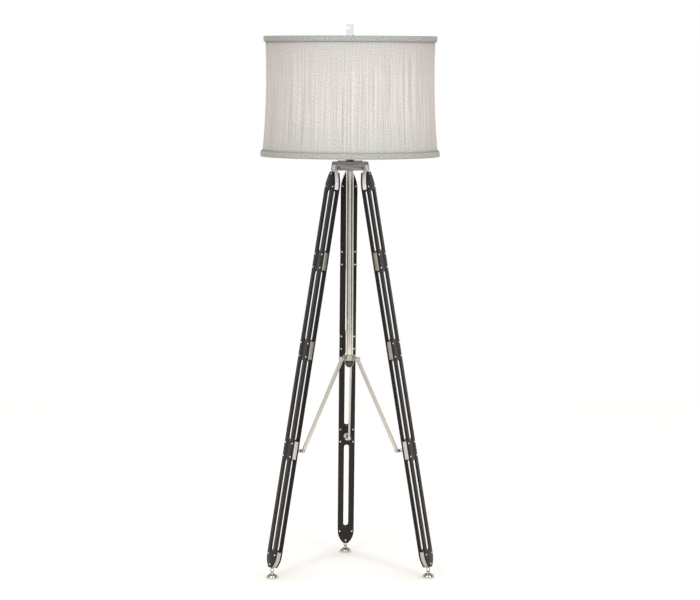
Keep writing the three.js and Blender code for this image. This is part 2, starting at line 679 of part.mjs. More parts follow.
function bulbGeometry() {
  const shape = [
    [0.42, 0], [0.46, 0.17], [0.78, 0.42], [0.98, 0.6],
    [0.97, 0.74], [0.8, 0.89], [0.42, 0.98], [0, 1],
  ];
  const outside = shape.map(([r, z]) => [r * BULB_RADIUS, bulbBottom + z * BULB_HEIGHT]);
  return turned([[0, bulbBottom], ...outside]);
}

// ---- Shade ----

// Outside radius of the fabric at a height, with a waist above the middle.
function shadeRadius(height) {
  const share = (height - shadeBottom) / SHADE_HEIGHT;
  if (share > SHADE_WAIST_AT) {
    const rise = (share - SHADE_WAIST_AT) / (1 - SHADE_WAIST_AT);
    return SHADE_WAIST_RADIUS + (SHADE_TOP_RADIUS - SHADE_WAIST_RADIUS) * rise ** 2;
  }
  const drop = Math.max(0, 1 - share / SHADE_WAIST_AT);
  return SHADE_WAIST_RADIUS + (SHADE_BOTTOM_RADIUS - SHADE_WAIST_RADIUS) * drop ** SHADE_FLARE;
}

function fabricGeometry() {
  const outside = [];
  const rows = 6;
  for (let i = 0; i <= rows; i++) {
    const height = shadeBottom + SEAT_GAP + ((SHADE_HEIGHT - 2 * SEAT_GAP) * i) / rows;
    outside.push([shadeRadius(height), height]);
  }
  const inside = outside.map(([r, z]) => [r - FABRIC_THICKNESS, z]).reverse();
  return turned([...outside, ...inside], SHADE_SIDES);
}

function trimGeometry(low, outer) {
  const high = low + TRIM_HEIGHT;
  const inner = Math.max(shadeRadius(low), shadeRadius(high)) + SEAT_GAP;
  const round = TRIM_THICKNESS * 0.4;
  return turned([
    [inner, low],
    [outer - round, low],
    [outer, low + round],
    [outer, high - round],
    [outer - round, high],
    [inner, high],
  ], SHADE_SIDES);
}

function wireRadius(height) {
  return shadeRadius(height) - FABRIC_THICKNESS - SEAT_GAP - FRAME_WIRE_RADIUS;
}

// The lower ring and the uprights that hold the fabric's waist.
function frameSolid() {
  const low = shadeBottom + FRAME_INSET;
  const high = shadeTop - FRAME_INSET - 2 * FRAME_WIRE_RADIUS - SEAT_GAP;
  const rises = [0, 0.25, 0.5, 0.75, 1].map((share) => low + (high - low) * share);
  const uprights = [];
  for (let i = 0; i < FRAME_UPRIGHTS; i++) {
    const places = rises.map((z) => new THREE.Vector3(wireRadius(z) - SEAT_GAP, 0, z));
    const upright = wire(new THREE.CatmullRomCurve3(places), FRAME_WIRE_RADIUS, 5);
    uprights.push(turnedTo((360 * i) / FRAME_UPRIGHTS, upright));
  }
  return join(ring(wireRadius(low), low, FRAME_WIRE_RADIUS), ...uprights);
}

// The upper ring, its spokes and the washer that sits on the harp.
function spiderSolid() {
  const ringHeight = shadeTop - FRAME_INSET;
  const washerMiddle = washerTop - WASHER_HEIGHT / 2;
  const start = new THREE.Vector3(WASHER_RADIUS - 2, 0, washerMiddle);
  const end = new THREE.Vector3(wireRadius(ringHeight), 0, ringHeight);
  const spokes = [];
  for (let i = 0; i < SPIDER_SPOKES; i++) {
    const spoke = wire(new THREE.LineCurve3(start, end), FRAME_WIRE_RADIUS, 1);
    spokes.push(turnedTo(30 + (360 * i) / SPIDER_SPOKES, spoke));
  }
  const hole = HARP_STUD_RADIUS + TURN_GAP;
  const washer = tube(WASHER_RADIUS, hole, washerTop - WASHER_HEIGHT, washerTop);
  return join(ring(wireRadius(ringHeight), ringHeight, FRAME_WIRE_RADIUS), washer, ...spokes);
}

// ---- Finial ----

function ferruleGeometry() {
  const top = ferruleBottom + FERRULE_HEIGHT;
  const bore = HARP_STUD_RADIUS + TURN_GAP;
  return turned([
    [0, top],
    [FERRULE_RADIUS * 0.85, top],
    [FERRULE_RADIUS, top - FERRULE_HEIGHT * 0.3],
    [FERRULE_RADIUS, ferruleBottom],
    [bore, ferruleBottom],
    [bore, top - 2],
    [0, top - 2],
  ]);
}

function finialGeometry() {
  const half = FINIAL_WIDTH / 2 - FINIAL_BEVEL;
  const corners = [[-half, -half], [half, -half], [half, half], [-half, half]];
  const outline = new THREE.Shape(corners.map(([x, y]) => new THREE.Vector2(x, y)));
  const block = new THREE.ExtrudeGeometry(outline, {
    depth: FINIAL_HEIGHT - 2 * FINIAL_BEVEL,
    bevelSize: FINIAL_BEVEL,
    bevelThickness: FINIAL_BEVEL,
    bevelSegments: 1,
  });
  const base = ferruleBottom + FERRULE_HEIGHT + SEAT_GAP + FINIAL_BEVEL;
  return block.translate(0, 0, base).rotateZ(radians(FINIAL_TURN));
}

// ---- Assembly ----

function makeCentre() {
  const centre = new THREE.Group();
  const column = tube(COLUMN_RADIUS, COLUMN_RADIUS - COLUMN_WALL, collarBottom, columnTop);
  const riserBottom = columnTop + 2 * SEAT_GAP;
  const riser = tube(
    RISER_RADIUS, RISER_RADIUS - RISER_WALL, riserBottom, hubTop + RISER_TOP, SMALL_SIDES);
  const bulbBase = cylinder(BULB_BASE_RADIUS, bulbBaseBottom, bulbBaseBottom + BULB_BASE_HEIGHT);
  centre.add(
    piece("hub", hubSolid(), "brushed"),
    piece("column", column, "nickel"),
    piece("column_cap", columnCapGeometry(), "nickel"),
    piece("cord_bushing", cordBushingGeometry(), "plastic"),
    piece("spreader_collar", spreaderSolid(), "nickel"),
    piece("collar_lock_screw", lockScrewSolid(), "nickel"),
    piece("riser_tube", riser, "brass"),
    piece("harp_saddle", saddleSolid(), "wire"),
    piece("harp", harpSolid(), "wire"),
    piece("socket_cap", socketCapGeometry(), "brass"),
    piece("socket_shell", socketShellSolid(), "brass"),
    piece("switch_knob", switchKnobSolid(), "plastic"),
    piece("bulb_base", bulbBase, "wire"),
    piece("bulb", bulbGeometry(), "glass"),
  );
  return centre;
}

function makeShade() {
  const shade = new THREE.Group();
  const topReach = SHADE_TOP_RADIUS + SEAT_GAP + TRIM_THICKNESS;
  shade.add(
    piece("shade_spider", spiderSolid(), "wire"),
    piece("shade_frame", frameSolid(), "wire"),
    piece("shade_fabric", fabricGeometry(), "fabric"),
    piece("shade_trim_top", trimGeometry(shadeTop - TRIM_HEIGHT, topReach), "trim"),
    piece("shade_trim_bottom", trimGeometry(shadeBottom, shadeReach), "trim"),
    piece("finial_ferrule", ferruleGeometry(), "nickel"),
    piece("finial", finialGeometry(), "acrylic"),
  );
  return shade;
}

const lamp = new THREE.Group();
lamp.add(makeCentre(), makeShade());
for (const [side, azimuth] of Object.entries(LEG_AZIMUTHS)) lamp.add(makeLeg(side, azimuth));

// The rear foot reaches further back than the shade reaches forward, so the lamp's axis
// stands in front of the bounding box's centre.
lamp.position.y = (shadeReach - FOOT_CIRCLE - BELL_RADIUS) / 2;

export default lamp;
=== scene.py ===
import json
import math

import bmesh
import bpy
from mathutils import Matrix, Vector


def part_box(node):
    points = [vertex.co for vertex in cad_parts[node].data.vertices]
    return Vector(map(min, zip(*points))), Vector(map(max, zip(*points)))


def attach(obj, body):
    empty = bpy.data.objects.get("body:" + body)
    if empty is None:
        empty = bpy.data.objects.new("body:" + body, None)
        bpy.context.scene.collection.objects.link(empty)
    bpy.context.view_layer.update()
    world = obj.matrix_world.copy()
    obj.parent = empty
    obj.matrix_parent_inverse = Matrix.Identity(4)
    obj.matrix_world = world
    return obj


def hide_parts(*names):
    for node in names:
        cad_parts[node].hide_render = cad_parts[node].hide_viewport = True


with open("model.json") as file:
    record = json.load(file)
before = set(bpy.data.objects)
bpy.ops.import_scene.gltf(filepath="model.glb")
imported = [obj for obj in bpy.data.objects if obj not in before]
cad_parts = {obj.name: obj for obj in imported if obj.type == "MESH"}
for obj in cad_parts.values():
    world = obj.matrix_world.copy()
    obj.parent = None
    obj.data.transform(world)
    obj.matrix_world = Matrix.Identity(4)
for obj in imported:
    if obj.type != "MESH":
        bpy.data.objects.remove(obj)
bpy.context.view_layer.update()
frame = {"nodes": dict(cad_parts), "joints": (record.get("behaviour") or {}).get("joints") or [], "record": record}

# ---- Camera ----
# A long lens stands seven metres in front of the lamp, a little below the shade's rim and a
# little to the left, and looks slightly down at the whole lamp.
MM = 0.001
SENSOR_WIDTH = 36.0
EYE_DISTANCE = 7.055
EYE_HEIGHT = 1.4376
EYE_TURN = math.radians(2.15)
EYE_PITCH = math.radians(5.489)
EYE_ROLL = math.radians(0.2)
LENS = 130.88
LENS_SHIFT = 0.0007

joints = {joint["name"]: joint for joint in frame["joints"]}


def pivot(joint):
    """Where a joint turns, in metres."""
    return Vector(joints[joint]["pos_m"])


lamp_axis = Matrix.Translation((pivot("shade_turn").x, pivot("shade_turn").y, 0))
lens = bpy.data.cameras.new("camera")
lens.sensor_width = SENSOR_WIDTH
lens.lens = LENS
lens.shift_x = LENS_SHIFT
camera = bpy.data.objects.new("camera", lens)
bpy.context.collection.objects.link(camera)
eye = Vector((-EYE_DISTANCE * math.sin(EYE_TURN), -EYE_DISTANCE * math.cos(EYE_TURN), EYE_HEIGHT))
camera.location = lamp_axis @ eye
level = Matrix.Rotation(-EYE_TURN, 4, "Z") @ Matrix.Rotation(math.radians(90) - EYE_PITCH, 4, "X")
camera.rotation_euler = (level @ Matrix.Rotation(EYE_ROLL, 4, "Z")).to_euler()
bpy.context.scene.camera = camera


# ---- Floor and studio light ----
# A white floor in a soft white room. The soft light comes from above and in front, and is dim
# and warm at the sides. What shines in the metal is a ring of bright panels with dark gaps.
FLOOR_EDGES = (-3.15, -2.1, 3.15, 3.6)
SOFT_LIGHT = [  # share of a turn from behind the camera, colour
    (0.00, (0.67, 0.69, 0.72)), (0.12, (0.45, 0.44, 0.44)), (0.20, (0.14, 0.09, 0.04)),
    (0.34, (0.12, 0.07, 0.02)), (0.43, (0.60, 0.53, 0.45)), (0.57, (0.60, 0.53, 0.45)),
    (0.66, (0.10, 0.05, 0.01)), (0.80, (0.12, 0.07, 0.02)), (0.88, (0.44, 0.43, 0.43)),
    (1.00, (0.67, 0.69, 0.72)),
]
PANELS = [
    (0.00, (0.60, 0.60, 0.57)), (0.035, (0.62, 0.62, 0.58)), (0.055, (0.88, 0.88, 0.84)),
    (0.135, (0.84, 0.84, 0.79)), (0.155, (0.05, 0.06, 0.06)), (0.215, (0.08, 0.09, 0.09)),
    (0.235, (0.80, 0.76, 0.70)), (0.36, (0.76, 0.72, 0.66)), (0.43, (1.70, 1.70, 1.68)),
    (0.57, (1.70, 1.70, 1.68)), (0.65, (0.72, 0.71, 0.68)), (0.735, (0.70, 0.69, 0.66)),
    (0.76, (0.34, 0.28, 0.23)), (0.86, (0.36, 0.30, 0.25)), (0.88, (0.84, 0.84, 0.80)),
    (0.95, (0.80, 0.80, 0.76)), (0.965, (0.60, 0.60, 0.57)), (1.00, (0.60, 0.60, 0.57)),
]
CEILING = (1.46, 1.41, 1.37)
CEILING_SHINE = (0.36, 0.36, 0.35)
CEILING_EDGE = (0.30, 0.80)  # how steeply up the ceiling begins, and where it is full
SOFT_BOXES = {  # place, target height, width, height, watts
    "key_light": ((-2.1, -4.5, 2.7), 0.8, 0.9, 0.9, 45.0),
    "fill_light": ((2.4, -4.5, 2.6), 0.8, 0.9, 0.9, 49.0),
}


def linear(hex_colour):
    """A colour written as sRGB hex, as the linear RGBA that shaders take."""
    shares = [int(hex_colour[i:i + 2], 16) / 255 for i in (1, 3, 5)]
    return (*[s / 12.92 if s <= 0.04045 else ((s + 0.055) / 1.055) ** 2.4 for s in shares], 1.0)


def node(tree, kind, inputs=(), **settings):
    """Adds a node with its settings. Its inputs are given by name or in order. One that is given
    a socket, or a node for its first output, is linked to it."""
    made = tree.nodes.new(kind)
    for setting, value in settings.items():
        setattr(made, setting, value)
    for socket, value in inputs.items() if isinstance(inputs, dict) else enumerate(inputs):
        if isinstance(value, bpy.types.Node):
            value = value.outputs[0]
        if isinstance(value, bpy.types.NodeSocket):
            tree.links.new(value, made.inputs[socket])
        else:
            made.inputs[socket].default_value = value
    return made


room = bpy.data.worlds.new("soft_room")
bpy.context.scene.world = room
room.use_nodes = True
tree = room.node_tree
tree.nodes.clear()
towards = node(tree, "ShaderNodeTexCoord")
parts = node(tree, "ShaderNodeSeparateXYZ", (towards.outputs["Generated"],))
ahead = node(tree, "ShaderNodeMath", (parts.outputs["Y"], -1.0), operation="MULTIPLY")
bearing = node(tree, "ShaderNodeMath", (parts.outputs["X"], ahead), operation="ARCTAN2")
turns = node(tree, "ShaderNodeMath", (bearing, 2 * math.pi), operation="DIVIDE")
positive = node(tree, "ShaderNodeMath", (turns, 1.0), operation="ADD")
turn_share = node(tree, "ShaderNodeMath", (positive,), operation="FRACT")
ceiling = node(tree, "ShaderNodeMapRange", {
    "Value": parts.outputs["Z"], "From Min": CEILING_EDGE[0], "From Max": CEILING_EDGE[1]},
    interpolation_type="SMOOTHSTEP")
path = node(tree, "ShaderNodeLightPath")
lights = []
for colours, overhead in ((SOFT_LIGHT, CEILING), (PANELS, CEILING_SHINE)):
    ring = node(tree, "ShaderNodeValToRGB", (turn_share,))
    ring.color_ramp.elements.remove(ring.color_ramp.elements[1])
    ring.color_ramp.elements[0].position = 0.0
    ring.color_ramp.elements[0].color = (*colours[0][1], 1)
    for place, colour in colours[1:]:
        ring.color_ramp.elements.new(place).color = (*colour, 1)
    low = node(tree, "ShaderNodeBackground", {"Color": ring.outputs["Color"]})
    high = node(tree, "ShaderNodeBackground", {"Color": (*overhead, 1)})
    lights.append(node(tree, "ShaderNodeMixShader", (ceiling, low, high)))
shone = node(tree, "ShaderNodeMixShader", (path.outputs["Is Glossy Ray"], *lights))
seen = node(tree, "ShaderNodeBackground", {"Color": (1, 1, 1, 1)})
both = node(tree, "ShaderNodeMixShader", (path.outputs["Is Camera Ray"], shone, seen))
node(tree, "ShaderNodeOutputWorld", {"Surface": both})

for name, (spot, target, width, height, watts) in SOFT_BOXES.items():
    lamp = bpy.data.lights.new(name, "AREA")
    lamp.shape = "RECTANGLE"
    lamp.size, lamp.size_y, lamp.energy = width, height, watts
    holder = bpy.data.objects.new(name, lamp)
    holder.location = spot
    aim = Vector((0, 0, target)) - Vector(spot)
    holder.rotation_euler = aim.to_track_quat("-Z", "Y").to_euler()
    bpy.context.collection.objects.link(holder)


def finish_named(name):
    """A new material with its node tree and Principled shader."""
    material = bpy.data.materials.new(name)
    material.use_nodes = True
    return material, material.node_tree, material.node_tree.nodes["Principled BSDF"]


def mottled(name, scale, detail, colours, rough=None, bump=None, spread=(0, 1), **constants):
    """A finish whose colour drifts between two in soft clouds, so many to the metre. Its
    roughness may drift too, between two values, and the clouds may stand up as relief of a
    given strength and depth. What is the same all over is named after the shader's socket."""
    material, tree, shader = finish_named(name)
    own = node(tree, "ShaderNodeTexCoord")
    clouds = node(tree, "ShaderNodeTexNoise", {
        "Vector": own.outputs["Object"], "Scale": scale, "Detail": detail})
    tone = node(tree, "ShaderNodeValToRGB", (clouds,))
    for stop, place, colour in zip(tone.color_ramp.elements, spread, colours):
        stop.position, stop.color = place, linear(colour)
    tree.links.new(tone.outputs["Color"], shader.inputs["Base Color"])
    if rough:
        gloss = node(tree, "ShaderNodeMapRange", {
            "Value": clouds, "To Min": rough[0], "To Max": rough[1]})
        tree.links.new(gloss.outputs["Result"], shader.inputs["Roughness"])
    if bump:
        relief = node(tree, "ShaderNodeBump", {
            "Height": clouds, "Strength": bump[0], "Distance": bump[1]})
        tree.links.new(relief.outputs["Normal"], shader.inputs["Normal"])
    for socket, value in constants.items():
        shader.inputs[socket.replace("_", " ")].default_value = value
    return material


# Matt white seamless paper: diffuse only, with a trace of tone in its pulp.
paper = mottled("matt_white_paper", 3.0, 2.0, ("#f6f6f6", "#f8f8f8"), Roughness=1.0,
                Specular_IOR_Level=0.0)

sheet = bpy.data.meshes.new("floor")
west, south, east, north = FLOOR_EDGES
sheet.from_pydata([(west, south, 0), (east, south, 0), (east, north, 0), (west, north, 0)], [],
                  [(0, 1, 2, 3)])
sheet.materials.append(paper)
floor = bpy.data.objects.new("floor", sheet)
bpy.context.collection.objects.link(floor)
bpy.context.scene.view_settings.view_transform = "Standard"


# ---- Hub ----
# The hub is a six-sided block of steel, machined wider at the foot, slotted at its three short
# corners for the legs' tongues, then brushed round its sides and plated with nickel.
HUB_EASE = 0.55
SHARP = math.radians(38)

body_of = {name: body for body, names in frame["record"]["behaviour"]["bodies"].items()
           for name in names}


def cleaned(shape):
    """Ends an edit: merges doubles, turns the faces outwards and shades them smooth."""
    mesh = bpy.data.meshes.new("shape")
    bmesh.ops.remove_doubles(shape, verts=shape.verts, dist=1e-4)
    bmesh.ops.recalc_face_normals(shape, faces=shape.faces)
    shape.to_mesh(mesh)
    shape.free()
    mesh.polygons.foreach_set("use_smooth", [True] * len(mesh.polygons))
    mesh.set_sharp_from_angle(angle=SHARP)
    return mesh


def softened(name, ease):
    """A CAD node's own shape in millimetres, with its sharp edges rounded off."""
    shape = bmesh.new()
    shape.from_mesh(frame["nodes"][name].data)
    bmesh.ops.scale(shape, vec=(1 / MM,) * 3, verts=shape.verts)
    bmesh.ops.remove_doubles(shape, verts=shape.verts, dist=0.01)
    bmesh.ops.dissolve_limit(
        shape, angle_limit=math.radians(0.5), verts=shape.verts, edges=shape.edges)
    edges = [e for e in shape.edges if e.calc_face_angle(0) > SHARP]
    bmesh.ops.bevel(shape, geom=edges, offset=ease, segments=2, profile=0.5, affect="EDGES",
                    clamp_overlap=True)
    return cleaned(shape)


def settle(name, shape, place, finish):
    """Puts a copy of a shape in millimetres where a CAD node is, to stand for that node. The
    shape's own coordinates stay with it, for patterns that follow the piece."""
    mesh = shape.copy()
    own = mesh.attributes.new("own_place", "FLOAT_VECTOR", "POINT")
    own.data.foreach_set("vector", [c * MM for v in mesh.vertices for c in v.co])
    mesh.transform(place @ Matrix.Scale(MM, 4))
    if place.determinant() < 0:
        mesh.flip_normals()
    mesh.materials.clear()
    mesh.materials.append(finish)
    piece = bpy.data.objects.new(f"{name}_finished", mesh)
    bpy.context.collection.objects.link(piece)
    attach(piece, body_of[name])
    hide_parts(name)
    return piece


# Brushed nickel plate: a grey metal whose fine scratches run round the block, so its
# highlights are soft bands. Real scratches are 0.05 mm apart and are drawn 0.8 mm apart.
brushed, tree, shader = finish_named("brushed_nickel_plate")
own = node(tree, "ShaderNodeTexCoord")
drawn = node(tree, "ShaderNodeMapping", {
    "Vector": own.outputs["Object"], "Scale": (40, 40, 1200)})
scratch = node(tree, "ShaderNodeTexNoise", {
    "Vector": drawn.outputs[0], "Scale": 1.0, "Detail": 4.0, "Roughness": 0.7})
cloudy = node(tree, "ShaderNodeTexNoise", {
    "Vector": own.outputs["Object"], "Scale": 60.0, "Detail": 2.0})
tone = node(tree, "ShaderNodeValToRGB", {0: scratch.outputs["Fac"]})
tone.color_ramp.elements[0].position = 0.3
tone.color_ramp.elements[0].color = linear("#9f9e9e")
tone.color_ramp.elements[1].position = 0.7
tone.color_ramp.elements[1].color = linear("#bdbcbb")
tree.links.new(tone.outputs["Color"], shader.inputs["Base Color"])
gloss = node(tree, "ShaderNodeMapRange", {
    "Value": cloudy.outputs["Fac"], "To Min": 0.24, "To Max": 0.38})
tree.links.new(gloss.outputs["Result"], shader.inputs["Roughness"])
ridges = node(tree, "ShaderNodeBump", {
    "Height": scratch.outputs["Fac"], "Strength": 0.25, "Distance": 0.0002})
tree.links.new(ridges.outputs["Normal"], shader.inputs["Normal"])
shader.inputs["Metallic"].default_value = 1.0

settle("hub", softened("hub", HUB_EASE), Matrix.Identity(4), brushed)


# ---- Column, end cap and cord bushing ----
# A drawn steel tube, buffed and nickel plated, pressed into the hub. A domed cap closes its
# foot, and a moulded bushing lines the hole in the cap where the mains cord would leave.
COLUMN_RADIUS = 10.0
COLUMN_BORE = 8.0
CAP_RADIUS = 12.6
CAP_HEIGHT = 17.2
CAP_HOLE = 4.6
CAP_MOUTH = 2.2
CAP_ROUND = 0.78
CAP_EDGE = 0.4
CAP_SPIGOT = 7.7
CAP_STEPS = 10
BUSHING_BORE = 3.1
BUSHING_BODY = 4.3
BUSHING_FLANGE = 5.9
BUSHING_GAP = 0.3
FINE_EASE = 0.35
SMOOTH_SIDES = 64


def together(*meshes):
    """Meshes cleaned and kept as one, without joining their surfaces."""
    shape = bmesh.new()
    for mesh in meshes:
        shape.from_mesh(mesh)
    return cleaned(shape)


def turned(profile, sides=SMOOTH_SIDES):
    """A closed shape turned about the Z axis. The profile is a list of (radius, height), which
    starts and ends on the axis, or is closed here on its first point."""
    vertices, rings, faces = [], [], []
    for radius, height in profile:
        count = 1 if radius == 0 else sides
        rings.append((len(vertices), count))
        steps = [2 * math.pi * k / count for k in range(count)]
        vertices += [(radius * math.cos(a), radius * math.sin(a), height) for a in steps]
    pairs = list(zip(rings, rings[1:]))
    if profile[0][0] > 0:
        pairs.append((rings[-1], rings[0]))
    for (low, lows), (high, highs) in pairs:
        for k in range(sides):
            face = (low + k % lows, low + (k + 1) % sides % lows,
                    high + (k + 1) % sides % highs, high + k % highs)
            if len(set(face)) > 2:
                faces.append(tuple(dict.fromkeys(face)))
    mesh = bpy.data.meshes.new("turned")
    mesh.from_pydata(vertices, [], faces)
    return together(mesh)


def eased(points, radius, closed=True, steps=3):
    """The same outline with a small arc in place of each corner."""
    result = []
    for i, point in enumerate(points):
        here, before = Vector(point), Vector(points[i - 1])
        after = Vector(points[(i + 1) % len(points)])
        if not closed and i in (0, len(points) - 1):
            result.append(tuple(here))
            continue
        back, on = before - here, after - here
        cut = min(radius, back.length * 0.45, on.length * 0.45)
        start, end = here + back.normalized() * cut, here + on.normalized() * cut
        for k in range(steps + 1):
            t = k / steps
            result.append(tuple(start * (1 - t) ** 2 + here * 2 * t * (1 - t) + end * t ** 2))
    return result


def heights(name):
    """How low and how high a CAD node reaches, in millimetres."""
    low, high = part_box(name)
    return low[2] / MM, high[2] / MM


# Polished nickel plate: a warm silvery mirror, with faint buffing haze and very small waves,
# which are drawn 1 mm apart, coarser than the buff leaves them.
nickel, tree, shader = finish_named("polished_nickel_plate")
own = node(tree, "ShaderNodeTexCoord")
haze = node(tree, "ShaderNodeTexNoise", {
    "Vector": own.outputs["Object"], "Scale": 45.0, "Detail": 3.0})
buffing = node(tree, "ShaderNodeTexNoise", {
    "Vector": own.outputs["Object"], "Scale": 900.0, "Detail": 2.0})
tone = node(tree, "ShaderNodeValToRGB", {0: haze.outputs["Fac"]})
tone.color_ramp.elements[0].position = 0.3
tone.color_ramp.elements[0].color = linear("#d3cfc6")
tone.color_ramp.elements[1].position = 0.7
tone.color_ramp.elements[1].color = linear("#dfdcd4")
tree.links.new(tone.outputs["Color"], shader.inputs["Base Color"])
gloss = node(tree, "ShaderNodeMapRange", {
    "Value": haze.outputs["Fac"], "To Min": 0.05, "To Max": 0.13})
tree.links.new(gloss.outputs["Result"], shader.inputs["Roughness"])
waves = node(tree, "ShaderNodeBump", {
    "Height": buffing.outputs["Fac"], "Strength": 0.04, "Distance": 0.0002})
tree.links.new(waves.outputs["Normal"], shader.inputs["Normal"])
shader.inputs["Metallic"].default_value = 1.0

# Nickel plate for the cap, with clouded polish. Its dark colour is painted shade on the cap.
cap_nickel_painted_shade = mottled("nickel_painted_shade", 80.0, 2.0, ("#4a4843", "#5c5a54"), Metallic=1.0,
                      Roughness=0.22)

# Satin nickel plate, tumbled. Its near-white colour is painted light: it stands in for how
# brightly the light falls on these pieces. Its dimples are 0.1 mm apart and are drawn 0.9 mm
# apart, so that they show.
satin_painted_light = mottled("satin_nickel_painted_light", 1100.0, 2.0, ("#fafaf8", "#ffffff"), bump=(0.1, 0.0001),
                Metallic=0.1, Roughness=0.45)

# Nickel plate on drawn strip and wire: duller and greyer than the polished pieces.
wire = mottled("nickel_plated_wire", 120.0, 3.0, ("#b5b0a6", "#cdc9c0"), rough=(0.24, 0.4),
               Metallic=1.0)

# Nickel plate on flat bar: brushed pale, brighter than the wire.
bar_nickel = mottled("nickel_plated_bar", 300.0, 3.0, ("#ccc7be", "#dcd8d0"), rough=(0.3, 0.42),
                     Metallic=0.65)

# Moulded black nylon: matt, with a fine pebbled skin from the mould. Its pebbles are 0.2 mm
# across and are drawn 0.7 mm across, so that they show.
nylon = mottled("moulded_black_nylon", 1500.0, 1.0, ("#171615", "#242322"), bump=(0.3, 0.0001),
                Roughness=0.5)

low, high = heights("column")
tube = eased([(COLUMN_BORE, low), (COLUMN_RADIUS, low), (COLUMN_RADIUS, high), (COLUMN_BORE, high)],
             FINE_EASE)
settle("column", turned(tube), lamp_axis, nickel)

cap_low, high = heights("column_cap")
cap_top = cap_low + CAP_HEIGHT
mouth = CAP_HOLE + CAP_MOUTH
dome = [(CAP_HOLE, cap_low), (mouth, cap_low)]
for k in range(CAP_STEPS + 1):
    rise = math.radians(90) * k / CAP_STEPS
    dome.append((mouth + (CAP_RADIUS - mouth) * math.sin(rise),
                 cap_low + CAP_HEIGHT * CAP_ROUND * (1 - math.cos(rise))))
dome += [(CAP_RADIUS, cap_top - CAP_EDGE), (CAP_RADIUS - CAP_EDGE, cap_top),
         (CAP_SPIGOT, cap_top), (CAP_SPIGOT, high), (CAP_HOLE, high)]
# The cap is drawn dark: painted shade on polished nickel.
settle("column_cap", turned(dome), lamp_axis, cap_nickel_painted_shade)

low, high = heights("cord_bushing")
flange_top = cap_low - BUSHING_GAP
liner = eased([(BUSHING_BORE, low), (BUSHING_FLANGE, low), (BUSHING_FLANGE, flange_top),
               (BUSHING_BODY, flange_top), (BUSHING_BODY, high), (BUSHING_BORE, high)], FINE_EASE)
settle("cord_bushing", turned(liner, 32), lamp_axis, nylon)


# ---- Leg planks ----
# Six planks of close-grained hardwood, sawn to a pointed arch above and a taper below, with
# long slots between the blocks. They are stained black, then rubbed to a satin lacquer.
SIDES = ("back", "left", "right")
ARCH_TIP = 9.0
ARCH_HEIGHT = 46.0
ARCH_BEND = (22.5, 26.0)
TAPER_TIP = 6.5
TAPER_HEIGHT = 34.0
TAPER_BEND = (21.0, 14.0)
SLOT_HALF = 7.2
SLOT_MARGIN = 3.0
PLANK_EASE = 0.7
CURVE_STEPS = 10
BLOCKS = ("top_block", "upper_block", "middle_block", "lower_block", "foot_block")
FACING_OUT = Matrix(((0, 0, 1), (1, 0, 0), (0, 1, 0))).to_4x4()
FACING_SIDE = Matrix(((1, 0, 0), (0, 0, -1), (0, 1, 0))).to_4x4()


def leg_place(side):
    """A leg's own frame: X outwards, Y sideways along the hinge pin, Z up the leg."""
    hinge, foot = pivot(f"{side}_leg_fold"), pivot(f"{side}_foot_tilt")
    sideways = Vector(joints[f"{side}_leg_fold"]["axis"]).normalized()
    upwards = (hinge - foot).normalized()
    turn = Matrix((sideways.cross(upwards), sideways, upwards)).transposed()
    return Matrix.Translation(hinge) @ turn.to_4x4()


def extent(name, place):
    """The lowest and highest corner of a CAD node in a frame, in millimetres."""
    back = place.inverted()
    spots = [back @ v.co / MM for v in frame["nodes"][name].data.vertices]
    return [Vector([pick(s[i] for s in spots) for i in range(3)]) for pick in (min, max)]


def shaped(obj):
    """An object's evaluated shape as a plain mesh. The object itself is removed."""
    graph = bpy.context.evaluated_depsgraph_get()
    mesh = bpy.data.meshes.new_from_object(obj.evaluated_get(graph))
    bpy.data.objects.remove(obj)
    return mesh


def plate(outline, holes, low, high, ease):
    """A plate cut to an outline in the XY plane, between two heights, with rounded edges."""
    curve = bpy.data.curves.new("outline", "CURVE")
    curve.dimensions, curve.fill_mode = "2D", "BOTH"
    curve.extrude, curve.bevel_depth = (high - low) / 2 - ease, ease
    curve.bevel_resolution, curve.offset = 1, -ease
    for loop in (outline, *holes):
        spline = curve.splines.new("POLY")
        spline.points.add(len(loop) - 1)
        for point, (x, y) in zip(spline.points, loop):
            point.co = (x, y, 0, 1)
        spline.use_cyclic_u = True
    holder = bpy.data.objects.new("outline", curve)
    bpy.context.collection.objects.link(holder)
    shape = bmesh.new()
    shape.from_mesh(shaped(holder))
    bmesh.ops.translate(shape, vec=(0, 0, (low + high) / 2), verts=shape.verts)
    return cleaned(shape)


def moved(mesh, place):
    """The same mesh, once it has been moved by a matrix."""
    mesh.transform(place)
    return mesh


def bend(start, control, end):
    """Points along a curve that leaves start towards control and arrives at end from it."""
    a, b, c = Vector(start), Vector(control), Vector(end)
    steps = [k / CURVE_STEPS for k in range(CURVE_STEPS + 1)]
    return [tuple(a * (1 - t) ** 2 + b * 2 * t * (1 - t) + c * t ** 2) for t in steps]


def mirrored(points):
    """A closed outline from its right half, which runs from the top down."""
    return points + [(-x, y) for x, y in reversed(points)]


def arc(centre, radius, start, turn, steps=CURVE_STEPS):
    """Points round a centre, from a start angle and through a turn, in degrees."""
    angles = [math.radians(start + turn * k / steps) for k in range(steps + 1)]
    return [(centre[0] + radius * math.cos(a), centre[1] + radius * math.sin(a)) for a in angles]


